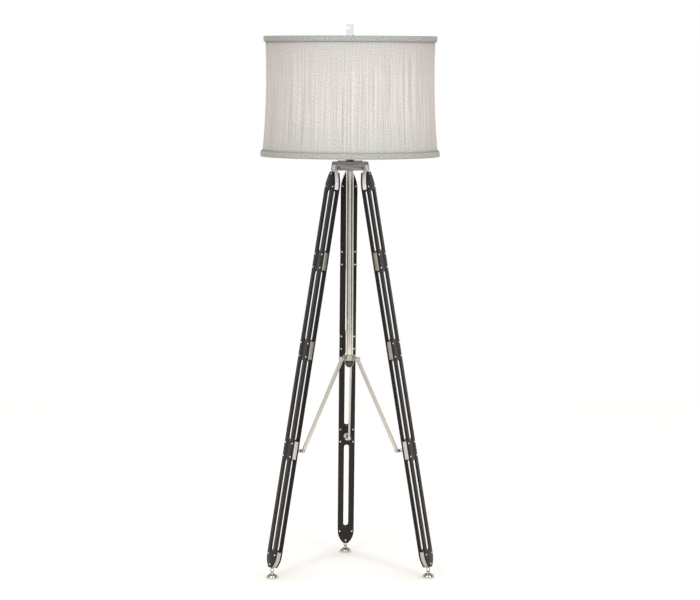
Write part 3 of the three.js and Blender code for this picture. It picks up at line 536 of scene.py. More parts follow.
# Ebonised hardwood: black stain in fine long pores under a satin lacquer, which is rubbed a
# little thinner and lighter along the grain. Real pores are 0.2 mm apart and are drawn 2 mm
# apart, so that they show.
ebony, tree, shader = finish_named("ebonised_hardwood_satin_lacquer")
own = node(tree, "ShaderNodeAttribute", attribute_name="own_place")
along = node(tree, "ShaderNodeMapping", {
    "Vector": own.outputs["Vector"], "Scale": (450, 450, 9)})
pores = node(tree, "ShaderNodeTexNoise", {
    "Vector": along.outputs[0], "Scale": 1.0, "Detail": 5.0, "Roughness": 0.65})
figure = node(tree, "ShaderNodeMapping", {
    "Vector": own.outputs["Vector"], "Scale": (90, 90, 4)})
streaks = node(tree, "ShaderNodeTexNoise", {
    "Vector": figure.outputs[0], "Scale": 1.0, "Detail": 3.0})
mixed = node(tree, "ShaderNodeMath", {
    0: pores.outputs["Fac"], 1: streaks.outputs["Fac"]}, operation="MULTIPLY")
tone = node(tree, "ShaderNodeValToRGB", {0: mixed.outputs[0]})
tone.color_ramp.elements[0].position = 0.12
tone.color_ramp.elements[0].color = linear("#12100e")
tone.color_ramp.elements[1].position = 0.42
tone.color_ramp.elements[1].color = linear("#2e2925")
tree.links.new(tone.outputs["Color"], shader.inputs["Base Color"])
gloss = node(tree, "ShaderNodeMapRange", {
    "Value": pores.outputs["Fac"], "From Min": 0.3, "From Max": 0.7, "To Min": 0.34,
    "To Max": 0.52})
tree.links.new(gloss.outputs["Result"], shader.inputs["Roughness"])
relief = node(tree, "ShaderNodeBump", {
    "Height": pores.outputs["Fac"], "Strength": 0.22, "Distance": 0.0003})
tree.links.new(relief.outputs["Normal"], shader.inputs["Normal"])
shader.inputs["Specular IOR Level"].default_value = 0.3

left = leg_place("left")
outer_low, outer_high = extent("left_outer_plank", left)
inner_low, inner_high = extent("left_inner_plank", left)
blocks = [extent(f"left_{block}", left) for block in BLOCKS]
plank_top, plank_foot, plank_half = outer_high.z, outer_low.z, outer_high.y
arch = bend((ARCH_TIP, plank_top), (ARCH_BEND[0], plank_top - ARCH_BEND[1]),
            (plank_half, plank_top - ARCH_HEIGHT))
taper = bend((plank_half, plank_foot + TAPER_HEIGHT), (TAPER_BEND[0], plank_foot + TAPER_BEND[1]),
             (TAPER_TIP, plank_foot))
block_tops = [high.z for low, high in blocks]
block_tops[0] = plank_top
slots = []
for above, below_top in zip(blocks, block_tops[1:]):
    slot_high = above[0].z - SLOT_MARGIN - SLOT_HALF
    slot_low = below_top + SLOT_MARGIN + SLOT_HALF
    slots.append(arc((0, slot_high), SLOT_HALF, 0, 180) + arc((0, slot_low), SLOT_HALF, 180, 180))
outline = mirrored(arch + taper)
planks = {
    "outer_plank": plate(outline, slots, outer_low.x, outer_high.x, PLANK_EASE),
    "inner_plank": plate(outline, slots, inner_low.x, inner_high.x, PLANK_EASE),
}
for side in SIDES:
    for word, shape in planks.items():
        settle(f"{side}_{word}", moved(shape.copy(), FACING_OUT), leg_place(side), ebony)


# ---- Leg blocks ----
# Solid bars of steel, plated with nickel, fill the gap between a leg's planks: satin at the top,
# where the near-white colour is painted light, duller below. The top one ends in the tongue that
# turns on the hinge pin.
BLOCK_EASE = 0.9
TONGUE_HALF = 8.0
TONGUE_RISE = 3.2
TONGUE_PLAY = 0.05
PIN_HOLE = 3.5
HOLE_SIDES = 24
BLOCK_FINISHES = {"top_block": satin_painted_light, "lower_block": bar_nickel}  # the others are like wire


def united(*meshes):
    """Several closed shapes made into one."""
    objects = [bpy.data.objects.new("part", mesh) for mesh in meshes]
    for obj in objects:
        bpy.context.collection.objects.link(obj)
    for other in objects[1:]:
        joiner = objects[0].modifiers.new("join", "BOOLEAN")
        joiner.operation, joiner.solver, joiner.object = "UNION", "EXACT", other
    joined = shaped(objects[0])
    for other in objects[1:]:
        bpy.data.objects.remove(other)
    return together(joined)


def pill(start, end, radius):
    """The outline of a flat bar with round ends."""
    lean = math.degrees(math.atan2(end[1] - start[1], end[0] - start[0]))
    return arc(end, radius, lean - 90, 180) + arc(start, radius, lean + 90, 180)


def round_hole(centre, radius):
    """The outline of a drilled hole."""
    return arc(centre, radius, 0, 360 - 360 / HOLE_SIDES, HOLE_SIDES - 1)


block_half = blocks[1][1].x
shapes = {}
for block, (low, high) in zip(BLOCKS[1:4], blocks[1:4]):
    corners = [(-plank_half, low.z), (plank_half, low.z),
               (plank_half, high.z), (-plank_half, high.z)]
    shapes[block] = plate(corners, [], -block_half, block_half, BLOCK_EASE)
foot_outline = mirrored([(plank_half, blocks[4][1].z)] + taper)
shapes["foot_block"] = plate(foot_outline, [], -block_half, block_half, BLOCK_EASE)
top_outline = mirrored(arch + [(plank_half, blocks[0][0].z)])
body = moved(plate(top_outline, [], -block_half, block_half, BLOCK_EASE), FACING_OUT)
reach = (plank_top + blocks[0][0].z) / 2
tongue = plate(pill((0, TONGUE_RISE), (0, reach), block_half - TONGUE_PLAY),
               [round_hole((0, 0), PIN_HOLE)], -TONGUE_HALF, TONGUE_HALF, FINE_EASE)
for block in BLOCKS[1:]:
    moved(shapes[block], FACING_OUT)
shapes["top_block"] = united(body, moved(tongue, FACING_SIDE))
for side in SIDES:
    for block, shape in shapes.items():
        settle(f"{side}_{block}", shape, leg_place(side), BLOCK_FINISHES.get(block, wire))


# ---- Rivets ----
# Each block is riveted through both planks. The domed heads are plated with satin nickel, whose
# near-white colour is painted light, and stand proud of the wood by a millimetre on the inside
# and outside faces of every leg.
RIVET_RADIUS = 2.3
RIVET_RISE = 1.25
RIVET_ROWS = 18.5
RIVET_COLUMNS = 18.2
TOP_RIVETS = ((0.0, 19.0), (-18.3, 54.5), (18.3, 54.5))
FOOT_RIVETS = ((-17.7, 36.9), (17.7, 36.9), (0.0, 8.9))

SHAPE, FLOAT = "NodeSocketGeometry", "NodeSocketFloat"
WHOLE, FINISH = "NodeSocketInt", "NodeSocketMaterial"


def group_with(name, inputs, output):
    """An empty geometry node group with named inputs and one geometry output."""
    group = bpy.data.node_groups.new(name, "GeometryNodeTree")
    for label, kind in inputs:
        group.interface.new_socket(label, in_out="INPUT", socket_type=kind)
    group.interface.new_socket(output, in_out="OUTPUT", socket_type=SHAPE)
    return group, node(group, "NodeGroupInput").outputs


riveting, given = group_with("rivet_heads", [
    ("Places", SHAPE), ("Radius", FLOAT), ("Rise", FLOAT), ("Finish", FINISH)], "Heads")
ball = node(riveting, "GeometryNodeMeshUVSphere", {"Segments": 16, "Rings": 10, "Radius": 1.0})
size = node(riveting, "ShaderNodeCombineXYZ", (given["Radius"], given["Radius"], given["Rise"]))
facing = node(riveting, "GeometryNodeInputNamedAttribute", {"Name": "facing"},
              data_type="FLOAT_VECTOR")
aimed = node(riveting, "FunctionNodeAlignRotationToVector", {
    "Vector": facing.outputs["Attribute"]}, axis="Z")
points = node(riveting, "GeometryNodeMeshToPoints", {"Mesh": given["Places"]})
heads = node(riveting, "GeometryNodeInstanceOnPoints", {
    "Points": points.outputs["Points"], "Instance": ball.outputs["Mesh"],
    "Rotation": aimed.outputs["Rotation"], "Scale": size.outputs["Vector"]})
solid = node(riveting, "GeometryNodeRealizeInstances", {"Geometry": heads.outputs["Instances"]})
soft = node(riveting, "GeometryNodeSetShadeSmooth", {"Geometry": solid.outputs["Geometry"]})
plated = node(riveting, "GeometryNodeSetMaterial", {
    "Geometry": soft.outputs["Geometry"], "Material": given["Finish"]})
node(riveting, "NodeGroupOutput", {"Heads": plated})


def grown(name, mesh, group, **inputs):
    """Runs a node group on a mesh, with inputs set by their labels, and keeps the result."""
    piece = bpy.data.objects.new(name, mesh)
    bpy.context.collection.objects.link(piece)
    maker = piece.modifiers.new("maker", "NODES")
    maker.node_group = group
    sockets = {item.name: item.identifier for item in group.interface.items_tree
               if item.item_type == "SOCKET" and item.in_out == "INPUT"}
    for label, value in inputs.items():
        maker[sockets[label.replace("_", " ")]] = value
    graph = bpy.context.evaluated_depsgraph_get()
    made = bpy.data.meshes.new_from_object(piece.evaluated_get(graph))
    piece.modifiers.remove(maker)
    piece.data = made
    return piece


rivets = list(TOP_RIVETS)
for low, high in blocks[1:4]:
    middle = -(low.z + high.z) / 2
    rivets += [(y, middle + z) for y in (-RIVET_COLUMNS, RIVET_COLUMNS)
               for z in (-RIVET_ROWS, RIVET_ROWS)]
rivets += [(y, -plank_foot - up) for y, up in FOOT_RIVETS]
for side in SIDES:
    place = leg_place(side)
    places = bpy.data.meshes.new("rivet_places")
    spots = [(x, y, -z) for x in (outer_high.x, inner_low.x) for y, z in rivets]
    places.from_pydata([place @ (Vector(s) * MM) for s in spots], [], [])
    facing = places.attributes.new("facing", "FLOAT_VECTOR", "POINT")
    for spot, item in zip(spots, facing.data):
        item.vector = place.to_3x3() @ Vector((math.copysign(1, spot[0]), 0, 0))
    piece = grown(f"{side}_rivets", places, riveting, Radius=RIVET_RADIUS * MM,
                  Rise=RIVET_RISE * MM, Finish=satin_painted_light)
    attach(piece, f"{side}_leg")


# ---- Hinge pins and feet ----
# A ground steel pin holds each leg in its slot in the hub. At the other end a ball stud, screwed
# into the foot block, snaps into the cup of a spun bell foot that stays flat on the floor.
PIN_RADIUS = 3.15
PIN_EASE = 0.6
BALL_RADIUS = 5.75
BALL_GAP = 0.4
NECK_RADIUS = 0.85 * BALL_RADIUS
BELL_RADIUS = 17.6
BELL_RIM = 2.4
BELL_SHOULDER = 14.0
BELL_COLLAR_TOP = 17.4
BELL_COLLAR_WALL = 1.8
BELL_COLLAR_EDGE = 0.4
BELL_HEM = ((0.7, 0.0), (0.2, 0.2), (0.0, 0.7))  # in from the rim, up from the floor
BELL_STEPS = 16
ALONG_Y = Matrix.Rotation(math.radians(90), 4, "X")


def upright_place(side):
    """The upright plane of a leg: X outwards from the lamp's axis, Y sideways, Z up."""
    sideways = Vector(joints[f"{side}_leg_fold"]["axis"]).normalized()
    up = Vector((0, 0, 1))
    turn = Matrix((sideways.cross(up), sideways, up)).transposed()
    return lamp_axis @ turn.to_4x4()


def in_plane(side, joint):
    """A joint's distance from the lamp's axis and its height, in millimetres."""
    spot = upright_place(side).inverted() @ pivot(f"{side}_{joint}")
    return spot.x / MM, spot.z / MM


leg_length = (pivot("left_leg_fold") - pivot("left_foot_tilt")).length / MM
ball_height = pivot("left_foot_tilt").z / MM
pin_low, pin_high = extent("left_hinge_pin", upright_place("left"))
pin = eased([(0, pin_low.y), (PIN_RADIUS, pin_low.y), (PIN_RADIUS, pin_high.y), (0, pin_high.y)],
            PIN_EASE, closed=False)
hinge_x, hinge_z = in_plane("left", "leg_fold")
pin_shape = moved(turned(pin, 24), Matrix.Translation((hinge_x, 0, hinge_z)) @ ALONG_Y)

neck_turn = math.degrees(math.asin(NECK_RADIUS / BALL_RADIUS))
stud_top = extent("left_foot_stud", left)[1].z
stud = [(0, stud_top), (NECK_RADIUS, stud_top)]
stud += arc((0, -leg_length), BALL_RADIUS, 90 - neck_turn, neck_turn - 180, 16)[:-1]
stud += [(0, -leg_length - BALL_RADIUS)]
stud_shape = turned(stud, 32)

cup = BALL_RADIUS + BALL_GAP
mouth = math.sqrt(cup ** 2 - (ball_height - BELL_COLLAR_TOP) ** 2)
collar = mouth + BELL_COLLAR_WALL
bell = [(0, 0)] + [(BELL_RADIUS - inward, up) for inward, up in BELL_HEM]
for k in range(BELL_STEPS + 1):
    angle = math.radians(90) * k / BELL_STEPS
    bell.append((collar + (BELL_RADIUS - collar) * math.cos(angle),
                 BELL_RIM + (BELL_SHOULDER - BELL_RIM) * math.sin(angle)))
bell += [(collar, BELL_COLLAR_TOP - BELL_COLLAR_EDGE),
         (collar - BELL_COLLAR_EDGE, BELL_COLLAR_TOP)]
cup_turn = math.degrees(math.asin(mouth / cup))
bell += arc((0, ball_height), cup, cup_turn - 90, -cup_turn, 8)[:-1] + [(0, ball_height - cup)]
bell_shape = turned(bell)

for side in SIDES:
    settle(f"{side}_hinge_pin", pin_shape, upright_place(side), brushed)
    settle(f"{side}_foot_stud", stud_shape, leg_place(side), nickel)
    foot_x = in_plane(side, "foot_tilt")[0] * MM
    settle(f"{side}_foot", bell_shape, upright_place(side) @ Matrix.Translation((foot_x, 0, 0)),
           nickel)


# ---- Spreader ----
# A turned collar slides on the column. Three flat bars are screwed to its lugs and to round
# brackets on the legs, and a small screw in front locks the collar when the lamp is open.
UPPER_PIVOT_RADIUS = 28.4
PIVOT_ABOVE_BASE = 5.6
COLLAR_BORE = 10.5
COLLAR_RADIUS = 15.1
COLLAR_LIP = 2.2
LIP_REACH = 2.4
COLLAR_EASE = 0.5
LUG_HALF = 2.5
LUG_RADIUS = 5.4
LUG_ROOT = 2.5
EAR_ROOT = 3.0
EAR_TRIM = 0.5
ARM_RADIUS = 5.2
ARM_EASE = 0.8
SCREW_HOLE = 2.9
HEAD_RADIUS = 4.2
HEAD_HEIGHT = 2.2
HEAD_SINK = 0.6
HEAD_EASE = 0.3
NUT_EASE = 0.25
OVERLAP = 1.0
BRACKET_RADIUS = 8.6
ROSETTE = [(0, 0.3), (4.4, 0.3), (5.4, 1.1), (BRACKET_RADIUS - 1.5, 1.5), (BRACKET_RADIUS, 2.0),
           (BRACKET_RADIUS, 3.0), (0, 3.0)]
ROSETTE_EASE = 0.4
LOCK_HEAD_RADIUS = 3.9
LOCK_HEAD_HEIGHT = 2.6
LOCK_SHANK_RADIUS = 2.4
MIRRORED = Matrix.Scale(-1, 4, (0, 1, 0))  # the left arm lies on the other face of its lug


def cheese_head(radius, height, slot_depth=0.9):
    """A low screw head with a rounded top and a turned recess, on the XY plane."""
    floor = height - slot_depth
    profile = [(0, 0), (radius, 0), (radius, height * 0.55), (radius * 0.86, height * 0.9),
               (radius * 0.62, height), (radius * 0.5, height), (radius * 0.42, floor),
               (0, floor)]
    return turned(eased(profile, HEAD_EASE, closed=False), 32)


collar_low, collar_high = heights("spreader_collar")
pivot_z = collar_low + PIVOT_ABOVE_BASE
rim = COLLAR_RADIUS + LIP_REACH
ring = eased([(COLLAR_BORE, collar_low), (COLLAR_RADIUS, collar_low),
              (COLLAR_RADIUS, collar_high - COLLAR_LIP), (rim, collar_high - COLLAR_LIP),
              (rim, collar_high), (COLLAR_BORE, collar_high)], COLLAR_EASE)
lugs = []
for side in SIDES:
    lug = plate(pill((COLLAR_RADIUS - LUG_ROOT, pivot_z), (UPPER_PIVOT_RADIUS, pivot_z),
                     LUG_RADIUS), [], -LUG_HALF, LUG_HALF, FINE_EASE)
    turn = (lamp_axis.inverted() @ upright_place(side)).to_3x3().to_4x4()
    lugs.append(moved(lug, turn @ FACING_SIDE))
settle("spreader_collar", united(turned(ring), *lugs), lamp_axis, wire)

arm_low, arm_high = extent("right_arm", upright_place("right"))
arm_near, head_top = -arm_high.y, -arm_low.y
arm_far = head_top - HEAD_HEIGHT
lower = in_plane("right", "arm_pivot")
upper = (UPPER_PIVOT_RADIUS, pivot_z)
bar = moved(plate(pill(upper, lower, ARM_RADIUS), [round_hole(lower, SCREW_HOLE)], arm_near,
                  arm_far, ARM_EASE), FACING_SIDE)
head = moved(cheese_head(HEAD_RADIUS, HEAD_HEIGHT + HEAD_SINK),
             FACING_SIDE @ Matrix.Translation((*upper, arm_far - HEAD_SINK)))
arm_shape = united(bar, head)

screw_low, screw_high = extent("right_arm_screw", upright_place("right"))
nut_face = -(screw_high.y - HEAD_HEIGHT)
shank_end = arm_far - nut_face + OVERLAP
shank = turned([(0, -OVERLAP), (LOCK_SHANK_RADIUS, -OVERLAP), (LOCK_SHANK_RADIUS, shank_end),
                (0, shank_end)], 24)
nut = turned(eased([(0, 0), (HEAD_RADIUS, 0), (HEAD_RADIUS, HEAD_HEIGHT), (0, HEAD_HEIGHT)],
                   NUT_EASE, closed=False), 6)
spot = Matrix.Translation((*lower, 0))
screw_shape = united(
    moved(shank, FACING_SIDE @ spot @ Matrix.Translation((0, 0, nut_face))),
    moved(cheese_head(HEAD_RADIUS, HEAD_HEIGHT),
          FACING_SIDE @ spot @ Matrix.Translation((0, 0, -screw_low.y - HEAD_HEIGHT))),
    moved(nut, FACING_SIDE @ spot @ Matrix.Translation((0, 0, nut_face - HEAD_HEIGHT))))

bracket_low, bracket_high = extent("left_arm_bracket", left)
root_x, root_z = bracket_high.x, (bracket_low.z + bracket_high.z) / 2
ear_pivot = bracket_low.x + LUG_RADIUS
ear = bmesh.new()
ear.from_mesh(moved(
    plate(pill((root_x - EAR_ROOT, root_z), (ear_pivot, root_z), LUG_RADIUS),
          [round_hole((ear_pivot, root_z), SCREW_HOLE)], -LUG_HALF, LUG_HALF, FINE_EASE),
    FACING_SIDE))
bmesh.ops.bisect_plane(ear, geom=ear.verts[:] + ear.edges[:] + ear.faces[:],
                       plane_co=(root_x - EAR_TRIM, 0, 0), plane_no=(1, 0, 0), clear_outer=True)
bmesh.ops.holes_fill(ear, edges=[e for e in ear.edges if e.is_boundary], sides=0)
rosette = moved(turned(eased(ROSETTE, ROSETTE_EASE, closed=False), 48),
                Matrix.Translation((root_x - EAR_ROOT, 0, root_z))
                @ Matrix.Rotation(math.radians(90), 4, "Y"))
bracket_shape = united(rosette, cleaned(ear))
for side in SIDES:
    arm_place = upright_place(side)
    if side == "left":
        arm_place = arm_place @ MIRRORED
    settle(f"{side}_arm", arm_shape, arm_place, bar_nickel)
    settle(f"{side}_arm_screw", screw_shape, arm_place, nickel)
    settle(f"{side}_arm_bracket", bracket_shape, leg_place(side), nickel)

lock_low, lock_high = extent("collar_lock_screw", lamp_axis)
lock_z = pivot("lock_screw_turn").z / MM
towards_front = Matrix.Translation((0, 0, lock_z)) @ ALONG_Y
lock_head = -lock_low.y - LOCK_HEAD_HEIGHT
shank = turned([(0, -lock_high.y), (LOCK_SHANK_RADIUS, -lock_high.y),
                (LOCK_SHANK_RADIUS, lock_head + OVERLAP), (0, lock_head + OVERLAP)], 24)
lock = united(moved(shank, towards_front),
              moved(cheese_head(LOCK_HEAD_RADIUS, LOCK_HEAD_HEIGHT),
                    towards_front @ Matrix.Translation((0, 0, lock_head))))
settle("collar_lock_screw", lock, lamp_axis, wire)


# ---- Harp, saddle and light fitting ----
# A threaded brass tube carries a bent steel saddle, the brass lamp holder with its turn switch,
# and a frosted bulb. The harp, a bow of plated wire, drops into the saddle's two sleeves.
STRAP_THICKNESS = 1.8
STRAP_HALF = 5.5
HARP_SPREAD = 33.0
SLEEVE_BASE = 22.0
SLEEVE_HEIGHT = 16.0
SLEEVE_RADIUS = 4.0
SLEEVE_BORE = 2.4
HARP_WIRE = 1.9
HARP_BULGE = 62.0
HARP_STRAIGHT = 16.0
HARP_SEAT = 8.0
HARP_STUD = 2.9
HARP_SEAT_HEIGHT = 3.0
SEAT_BELOW_PIVOT = 2.3
RISER_RADIUS = 5.0
RISER_BORE = 3.7
RISER_PLAY = 0.3
SOCKET_RADIUS = 17.0
SOCKET_WALL = 1.6
SOCKET_FLOOR = 5.0
BULB_RADIUS = 30.0
BASE_RADIUS = 13.2
THREAD_PITCH = 3.6
THREAD_DEPTH = 1.0
KNOB_RADIUS = 6.0
KNOB_STEM = 2.0
KNOB_RIBS = 18
KNOB_LENGTH = 11.0
KNOB_GROOVE = 0.07

# Drawn brass: warm yellow metal with a light tarnish that deepens in clouds.
brass = mottled("drawn_brass", 70.0, 4.0, ("#a98a4e", "#c9ab6a"), rough=(0.22, 0.4),
                spread=(0.35, 0.65), Metallic=1.0)

# Frosted bulb glass: an even milky white under a thin gloss.
frosted = mottled("frosted_bulb_glass", 40.0, 2.0, ("#efece5", "#f8f6f1"), Roughness=0.3,
                  Coat_Weight=0.4, Coat_Roughness=0.12)


def wire_along(points, radius, sides=12, closed=False):
    """A round wire with closed ends that runs smoothly through the points."""
    curve = bpy.data.curves.new("wire", "CURVE")
    curve.dimensions, curve.bevel_mode = "3D", "ROUND"
    curve.bevel_depth, curve.bevel_resolution = radius, sides // 4
    curve.use_fill_caps, curve.resolution_u = True, 8
    spline = curve.splines.new("BEZIER")
    spline.bezier_points.add(len(points) - 1)
    for point, place in zip(spline.bezier_points, points):
        point.co = place
        point.handle_left_type = point.handle_right_type = "AUTO"
    holder = bpy.data.objects.new("wire", curve)
    bpy.context.collection.objects.link(holder)
    return together(shaped(holder))


hub_top = heights("hub")[1]
low, high = heights("riser_tube")
# The brass riser is drawn in the near-white satin finish, which is painted light.
settle("riser_tube", turned([(RISER_BORE, low), (RISER_RADIUS, low), (RISER_RADIUS, high),
                             (RISER_BORE, high)], 32), lamp_axis, satin_painted_light)

strap_low, strap_high = heights("harp_saddle")
sleeve_low = hub_top + SLEEVE_BASE
out = HARP_SPREAD + STRAP_THICKNESS / 2
inn = HARP_SPREAD - STRAP_THICKNESS / 2
strap_end = sleeve_low + STRAP_THICKNESS / 2
channel = [(-out, strap_end), (-out, strap_low), (out, strap_low), (out, strap_end),
           (inn, strap_end), (inn, strap_low + STRAP_THICKNESS),
           (-inn, strap_low + STRAP_THICKNESS), (-inn, strap_end)]
strap = moved(plate(eased(channel, 1.4), [], -STRAP_HALF, STRAP_HALF, 0.3), FACING_SIDE)
sleeve = [(0, sleeve_low), (SLEEVE_RADIUS, sleeve_low), (SLEEVE_RADIUS, strap_high),
          (SLEEVE_BORE, strap_high), (SLEEVE_BORE, sleeve_low + 1.5), (0, sleeve_low + 1.5)]
sleeves = [moved(turned(eased(sleeve, 0.3, closed=False), 32), Matrix.Translation((x, 0, 0)))
           for x in (-HARP_SPREAD, HARP_SPREAD)]
settle("harp_saddle", united(strap, *sleeves), lamp_axis, wire)

harp_low, stud_high = heights("harp")
washer_low = pivot("shade_turn").z / MM - SEAT_BELOW_PIVOT
rise = washer_low - HARP_WIRE - harp_low
bow = [(HARP_SPREAD, 0), (HARP_SPREAD, (SLEEVE_HEIGHT - STRAP_THICKNESS) / rise),
       (HARP_SPREAD, (SLEEVE_HEIGHT - STRAP_THICKNESS + HARP_STRAIGHT) / rise),
       (HARP_BULGE * 0.86, 0.3), (HARP_BULGE, 0.5), (HARP_BULGE * 0.84, 0.74),
       (HARP_BULGE * 0.36, 0.945)]
path = [(x, 0, harp_low + share * rise) for x, share in bow]
path += [(0, 0, harp_low + rise)] + [(-x, y, z) for x, y, z in reversed(path)]
seat_low = washer_low - HARP_SEAT_HEIGHT
seat = eased([(0, seat_low), (HARP_SEAT, seat_low), (HARP_SEAT, washer_low), (0, washer_low)],
             0.4, closed=False)
stud = eased([(0, washer_low - 1), (HARP_STUD, washer_low - 1), (HARP_STUD, stud_high),
              (0, stud_high)], 0.5, closed=False)
settle("harp", united(wire_along(path, HARP_WIRE), turned(seat, 32), turned(stud, 24)), lamp_axis,
       wire)

low, high = heights("socket_cap")
inner = SOCKET_RADIUS - SOCKET_WALL
hole = RISER_RADIUS + RISER_PLAY
cap = [(hole, low), (SOCKET_RADIUS * 0.62, low), (SOCKET_RADIUS * 0.7, low + 1.2)]
cap += bend((SOCKET_RADIUS * 0.72, low + 1.6), (SOCKET_RADIUS, low + 2.5), (SOCKET_RADIUS, low + 8))
cap += [(SOCKET_RADIUS, high), (inner, high), (inner, low + 7), (inner * 0.7, low + SOCKET_WALL),
        (hole, low + SOCKET_WALL)]
settle("socket_cap", turned(cap), lamp_axis, brass)

low, high = heights("socket_shell")
shell = [(0, low), (SOCKET_RADIUS, low), (SOCKET_RADIUS, low + 4), (SOCKET_RADIUS - 0.7, low + 4.8),
         (SOCKET_RADIUS - 0.7, low + 6.2), (SOCKET_RADIUS, low + 7), (SOCKET_RADIUS, high - 5),
         (SOCKET_RADIUS - 0.6, high - 4.2), (SOCKET_RADIUS, high - 3.4), (SOCKET_RADIUS, high),
         (inner, high), (inner, low + SOCKET_FLOOR), (0, low + SOCKET_FLOOR)]
settle("socket_shell", turned(eased(shell, 0.3, closed=False)), lamp_axis, brass)

low, high = heights("bulb_base")
screw = [(0, low), (BASE_RADIUS * 0.5, low), (BASE_RADIUS * 0.82, low + 3)]
turns = int((high - low - 8) / THREAD_PITCH)
for k in range(turns):
    z = low + 4 + k * THREAD_PITCH
    screw += [(BASE_RADIUS - THREAD_DEPTH, z), (BASE_RADIUS, z + THREAD_PITCH / 2)]
screw += [(BASE_RADIUS - THREAD_DEPTH, high - 3), (BASE_RADIUS - 0.4, high - 1.5),
          (BASE_RADIUS - 0.4, high), (0, high)]
settle("bulb_base", turned(eased(screw, 0.8, closed=False), 48), lamp_axis, wire)

low, high = heights("bulb")
shares = [(0.42, 0), (0.44, 0.1), (0.5, 0.2), (0.62, 0.3), (0.78, 0.42), (0.9, 0.51), (0.98, 0.6),
          (0.997, 0.67), (0.97, 0.75), (0.89, 0.83), (0.78, 0.895), (0.62, 0.945), (0.42, 0.98),
          (0.21, 0.996), (0, 1)]
envelope = [(0, low)] + [(r * BULB_RADIUS, low + z * (high - low)) for r, z in shares]
settle("bulb", turned(envelope), lamp_axis, frosted)

knob_low, knob_high = extent("switch_knob", lamp_axis)
knob_z = pivot("switch_turn").z / MM
stem_start, knob_end = -knob_high.y, -knob_low.y
knob_start = knob_end - KNOB_LENGTH
stem = turned([(0, stem_start), (KNOB_STEM, stem_start), (KNOB_STEM, knob_start + 1),
               (0, knob_start + 1)], 24)
grip = turned(eased([(0, knob_start), (KNOB_RADIUS * 0.9, knob_start),
                     (KNOB_RADIUS, knob_start + 1.5), (KNOB_RADIUS, knob_end - 1.2),
                     (KNOB_RADIUS * 0.8, knob_end), (0, knob_end)],
                    0.4, closed=False), KNOB_RIBS * 4)
for vertex in grip.vertices:
    spread = math.hypot(vertex.co.x, vertex.co.y)
    if spread > KNOB_RADIUS * 0.85:
        groove = 0.5 - 0.5 * math.cos(KNOB_RIBS * math.atan2(vertex.co.y, vertex.co.x))
        vertex.co.xy *= 1 - KNOB_GROOVE * groove
settle("switch_knob", moved(united(stem, grip), Matrix.Translation((0, 0, knob_z)) @ ALONG_Y),
       lamp_axis, nylon)


# ---- Shade frame ----
# Plated wire rings stand at the shade's rims, joined by eight uprights that are bent to its
# waist. Three spokes carry the washer that sits on the harp under the finial.
WAIST_RADIUS = 232.7
TOP_RADIUS = 235.1
BOTTOM_RADIUS = 244.2
WAIST_AT = 0.7
FLARE = 2.2
CLOTH_THICKNESS = 1.5
FRAME_WIRE = 2.2
FRAME_INSET = 4.0
WIRE_GAP = 0.6
UPRIGHT_INSET = 0.3
UPRIGHTS = 8
SPOKE_TURNS = (30, 150, 270)
WASHER_RADIUS = 11.0
WASHER_HOLE = 3.4
WASHER_HEIGHT = 2.0
RING_SIDES = 128

shade_low = heights("shade_trim_bottom")[0]
shade_high = heights("shade_trim_top")[1]
shade_rise = shade_high - shade_low


def cloth_radius(height):
    """Outside radius of the cloth at a height: slightly waisted above, flared below."""
    share = (height - shade_low) / shade_rise
    over = max(0.0, (share - WAIST_AT) / (1 - WAIST_AT))
    under = max(0.0, 1 - share / WAIST_AT)
    return WAIST_RADIUS + (TOP_RADIUS - WAIST_RADIUS) * over ** 2 + (
        BOTTOM_RADIUS - WAIST_RADIUS) * under ** FLARE


def wire_radius(height):
    """How far out the middle of the frame's wire lies, a little way inside the cloth."""
    return cloth_radius(height) - CLOTH_THICKNESS - WIRE_GAP - FRAME_WIRE


def wire_ring(height):
    """A closed ring of the frame's wire."""
    middle = wire_radius(height)
    section = [(middle + FRAME_WIRE * math.cos(a), height + FRAME_WIRE * math.sin(a))
               for a in [2 * math.pi * k / 12 for k in range(12)]]
    return turned(section, RING_SIDES)


low_ring = shade_low + FRAME_INSET
high_ring = shade_high - FRAME_INSET
upright_top = high_ring - 2 * FRAME_WIRE - UPRIGHT_INSET
levels = [low_ring + (upright_top - low_ring) * k / 12 for k in range(13)]
upright = wire_along([(wire_radius(z) - UPRIGHT_INSET, 0, z) for z in levels], FRAME_WIRE)
uprights = [moved(upright.copy(), Matrix.Rotation(2 * math.pi * k / UPRIGHTS, 4, "Z"))
            for k in range(UPRIGHTS)]
settle("shade_frame", together(wire_ring(low_ring), *uprights), lamp_axis, wire)

washer_top = pivot("shade_turn").z / MM
washer_foot = washer_top - WASHER_HEIGHT
washer = eased([(WASHER_HOLE, washer_foot), (WASHER_RADIUS, washer_foot),
                (WASHER_RADIUS, washer_top), (WASHER_HOLE, washer_top)], FINE_EASE)
spokes = []
for turn in SPOKE_TURNS:
    spoke = wire_along([(WASHER_RADIUS - 2, 0, washer_top - WASHER_HEIGHT / 2),
                        (wire_radius(high_ring), 0, high_ring)], FRAME_WIRE)
    spokes.append(moved(spoke, Matrix.Rotation(math.radians(turn), 4, "Z")))
settle("shade_spider", together(wire_ring(high_ring), turned(washer, 48), *spokes), lamp_axis, wire)


# ---- Shade cloth ----
# A strip of off-white cloth is gathered into fine irregular upright folds round the frame and
# stuck to a thin backing. The folds are real relief, a few millimetres apart.
CLOTH_COLUMNS = 1440
CLOTH_ROWS = 14
FOLD_DEPTH = 0.5
FOLD_SPACING = 5.0
FOLD_DRIFT = 0.8  # how far a fold wanders between the rims, in fold widths
FOLD_CONTRAST = (3.0, -2.2)  # what the ripple is multiplied by, and what is then added
CLOTH_GAP = 0.3
BACKING_THICKNESS = 0.8


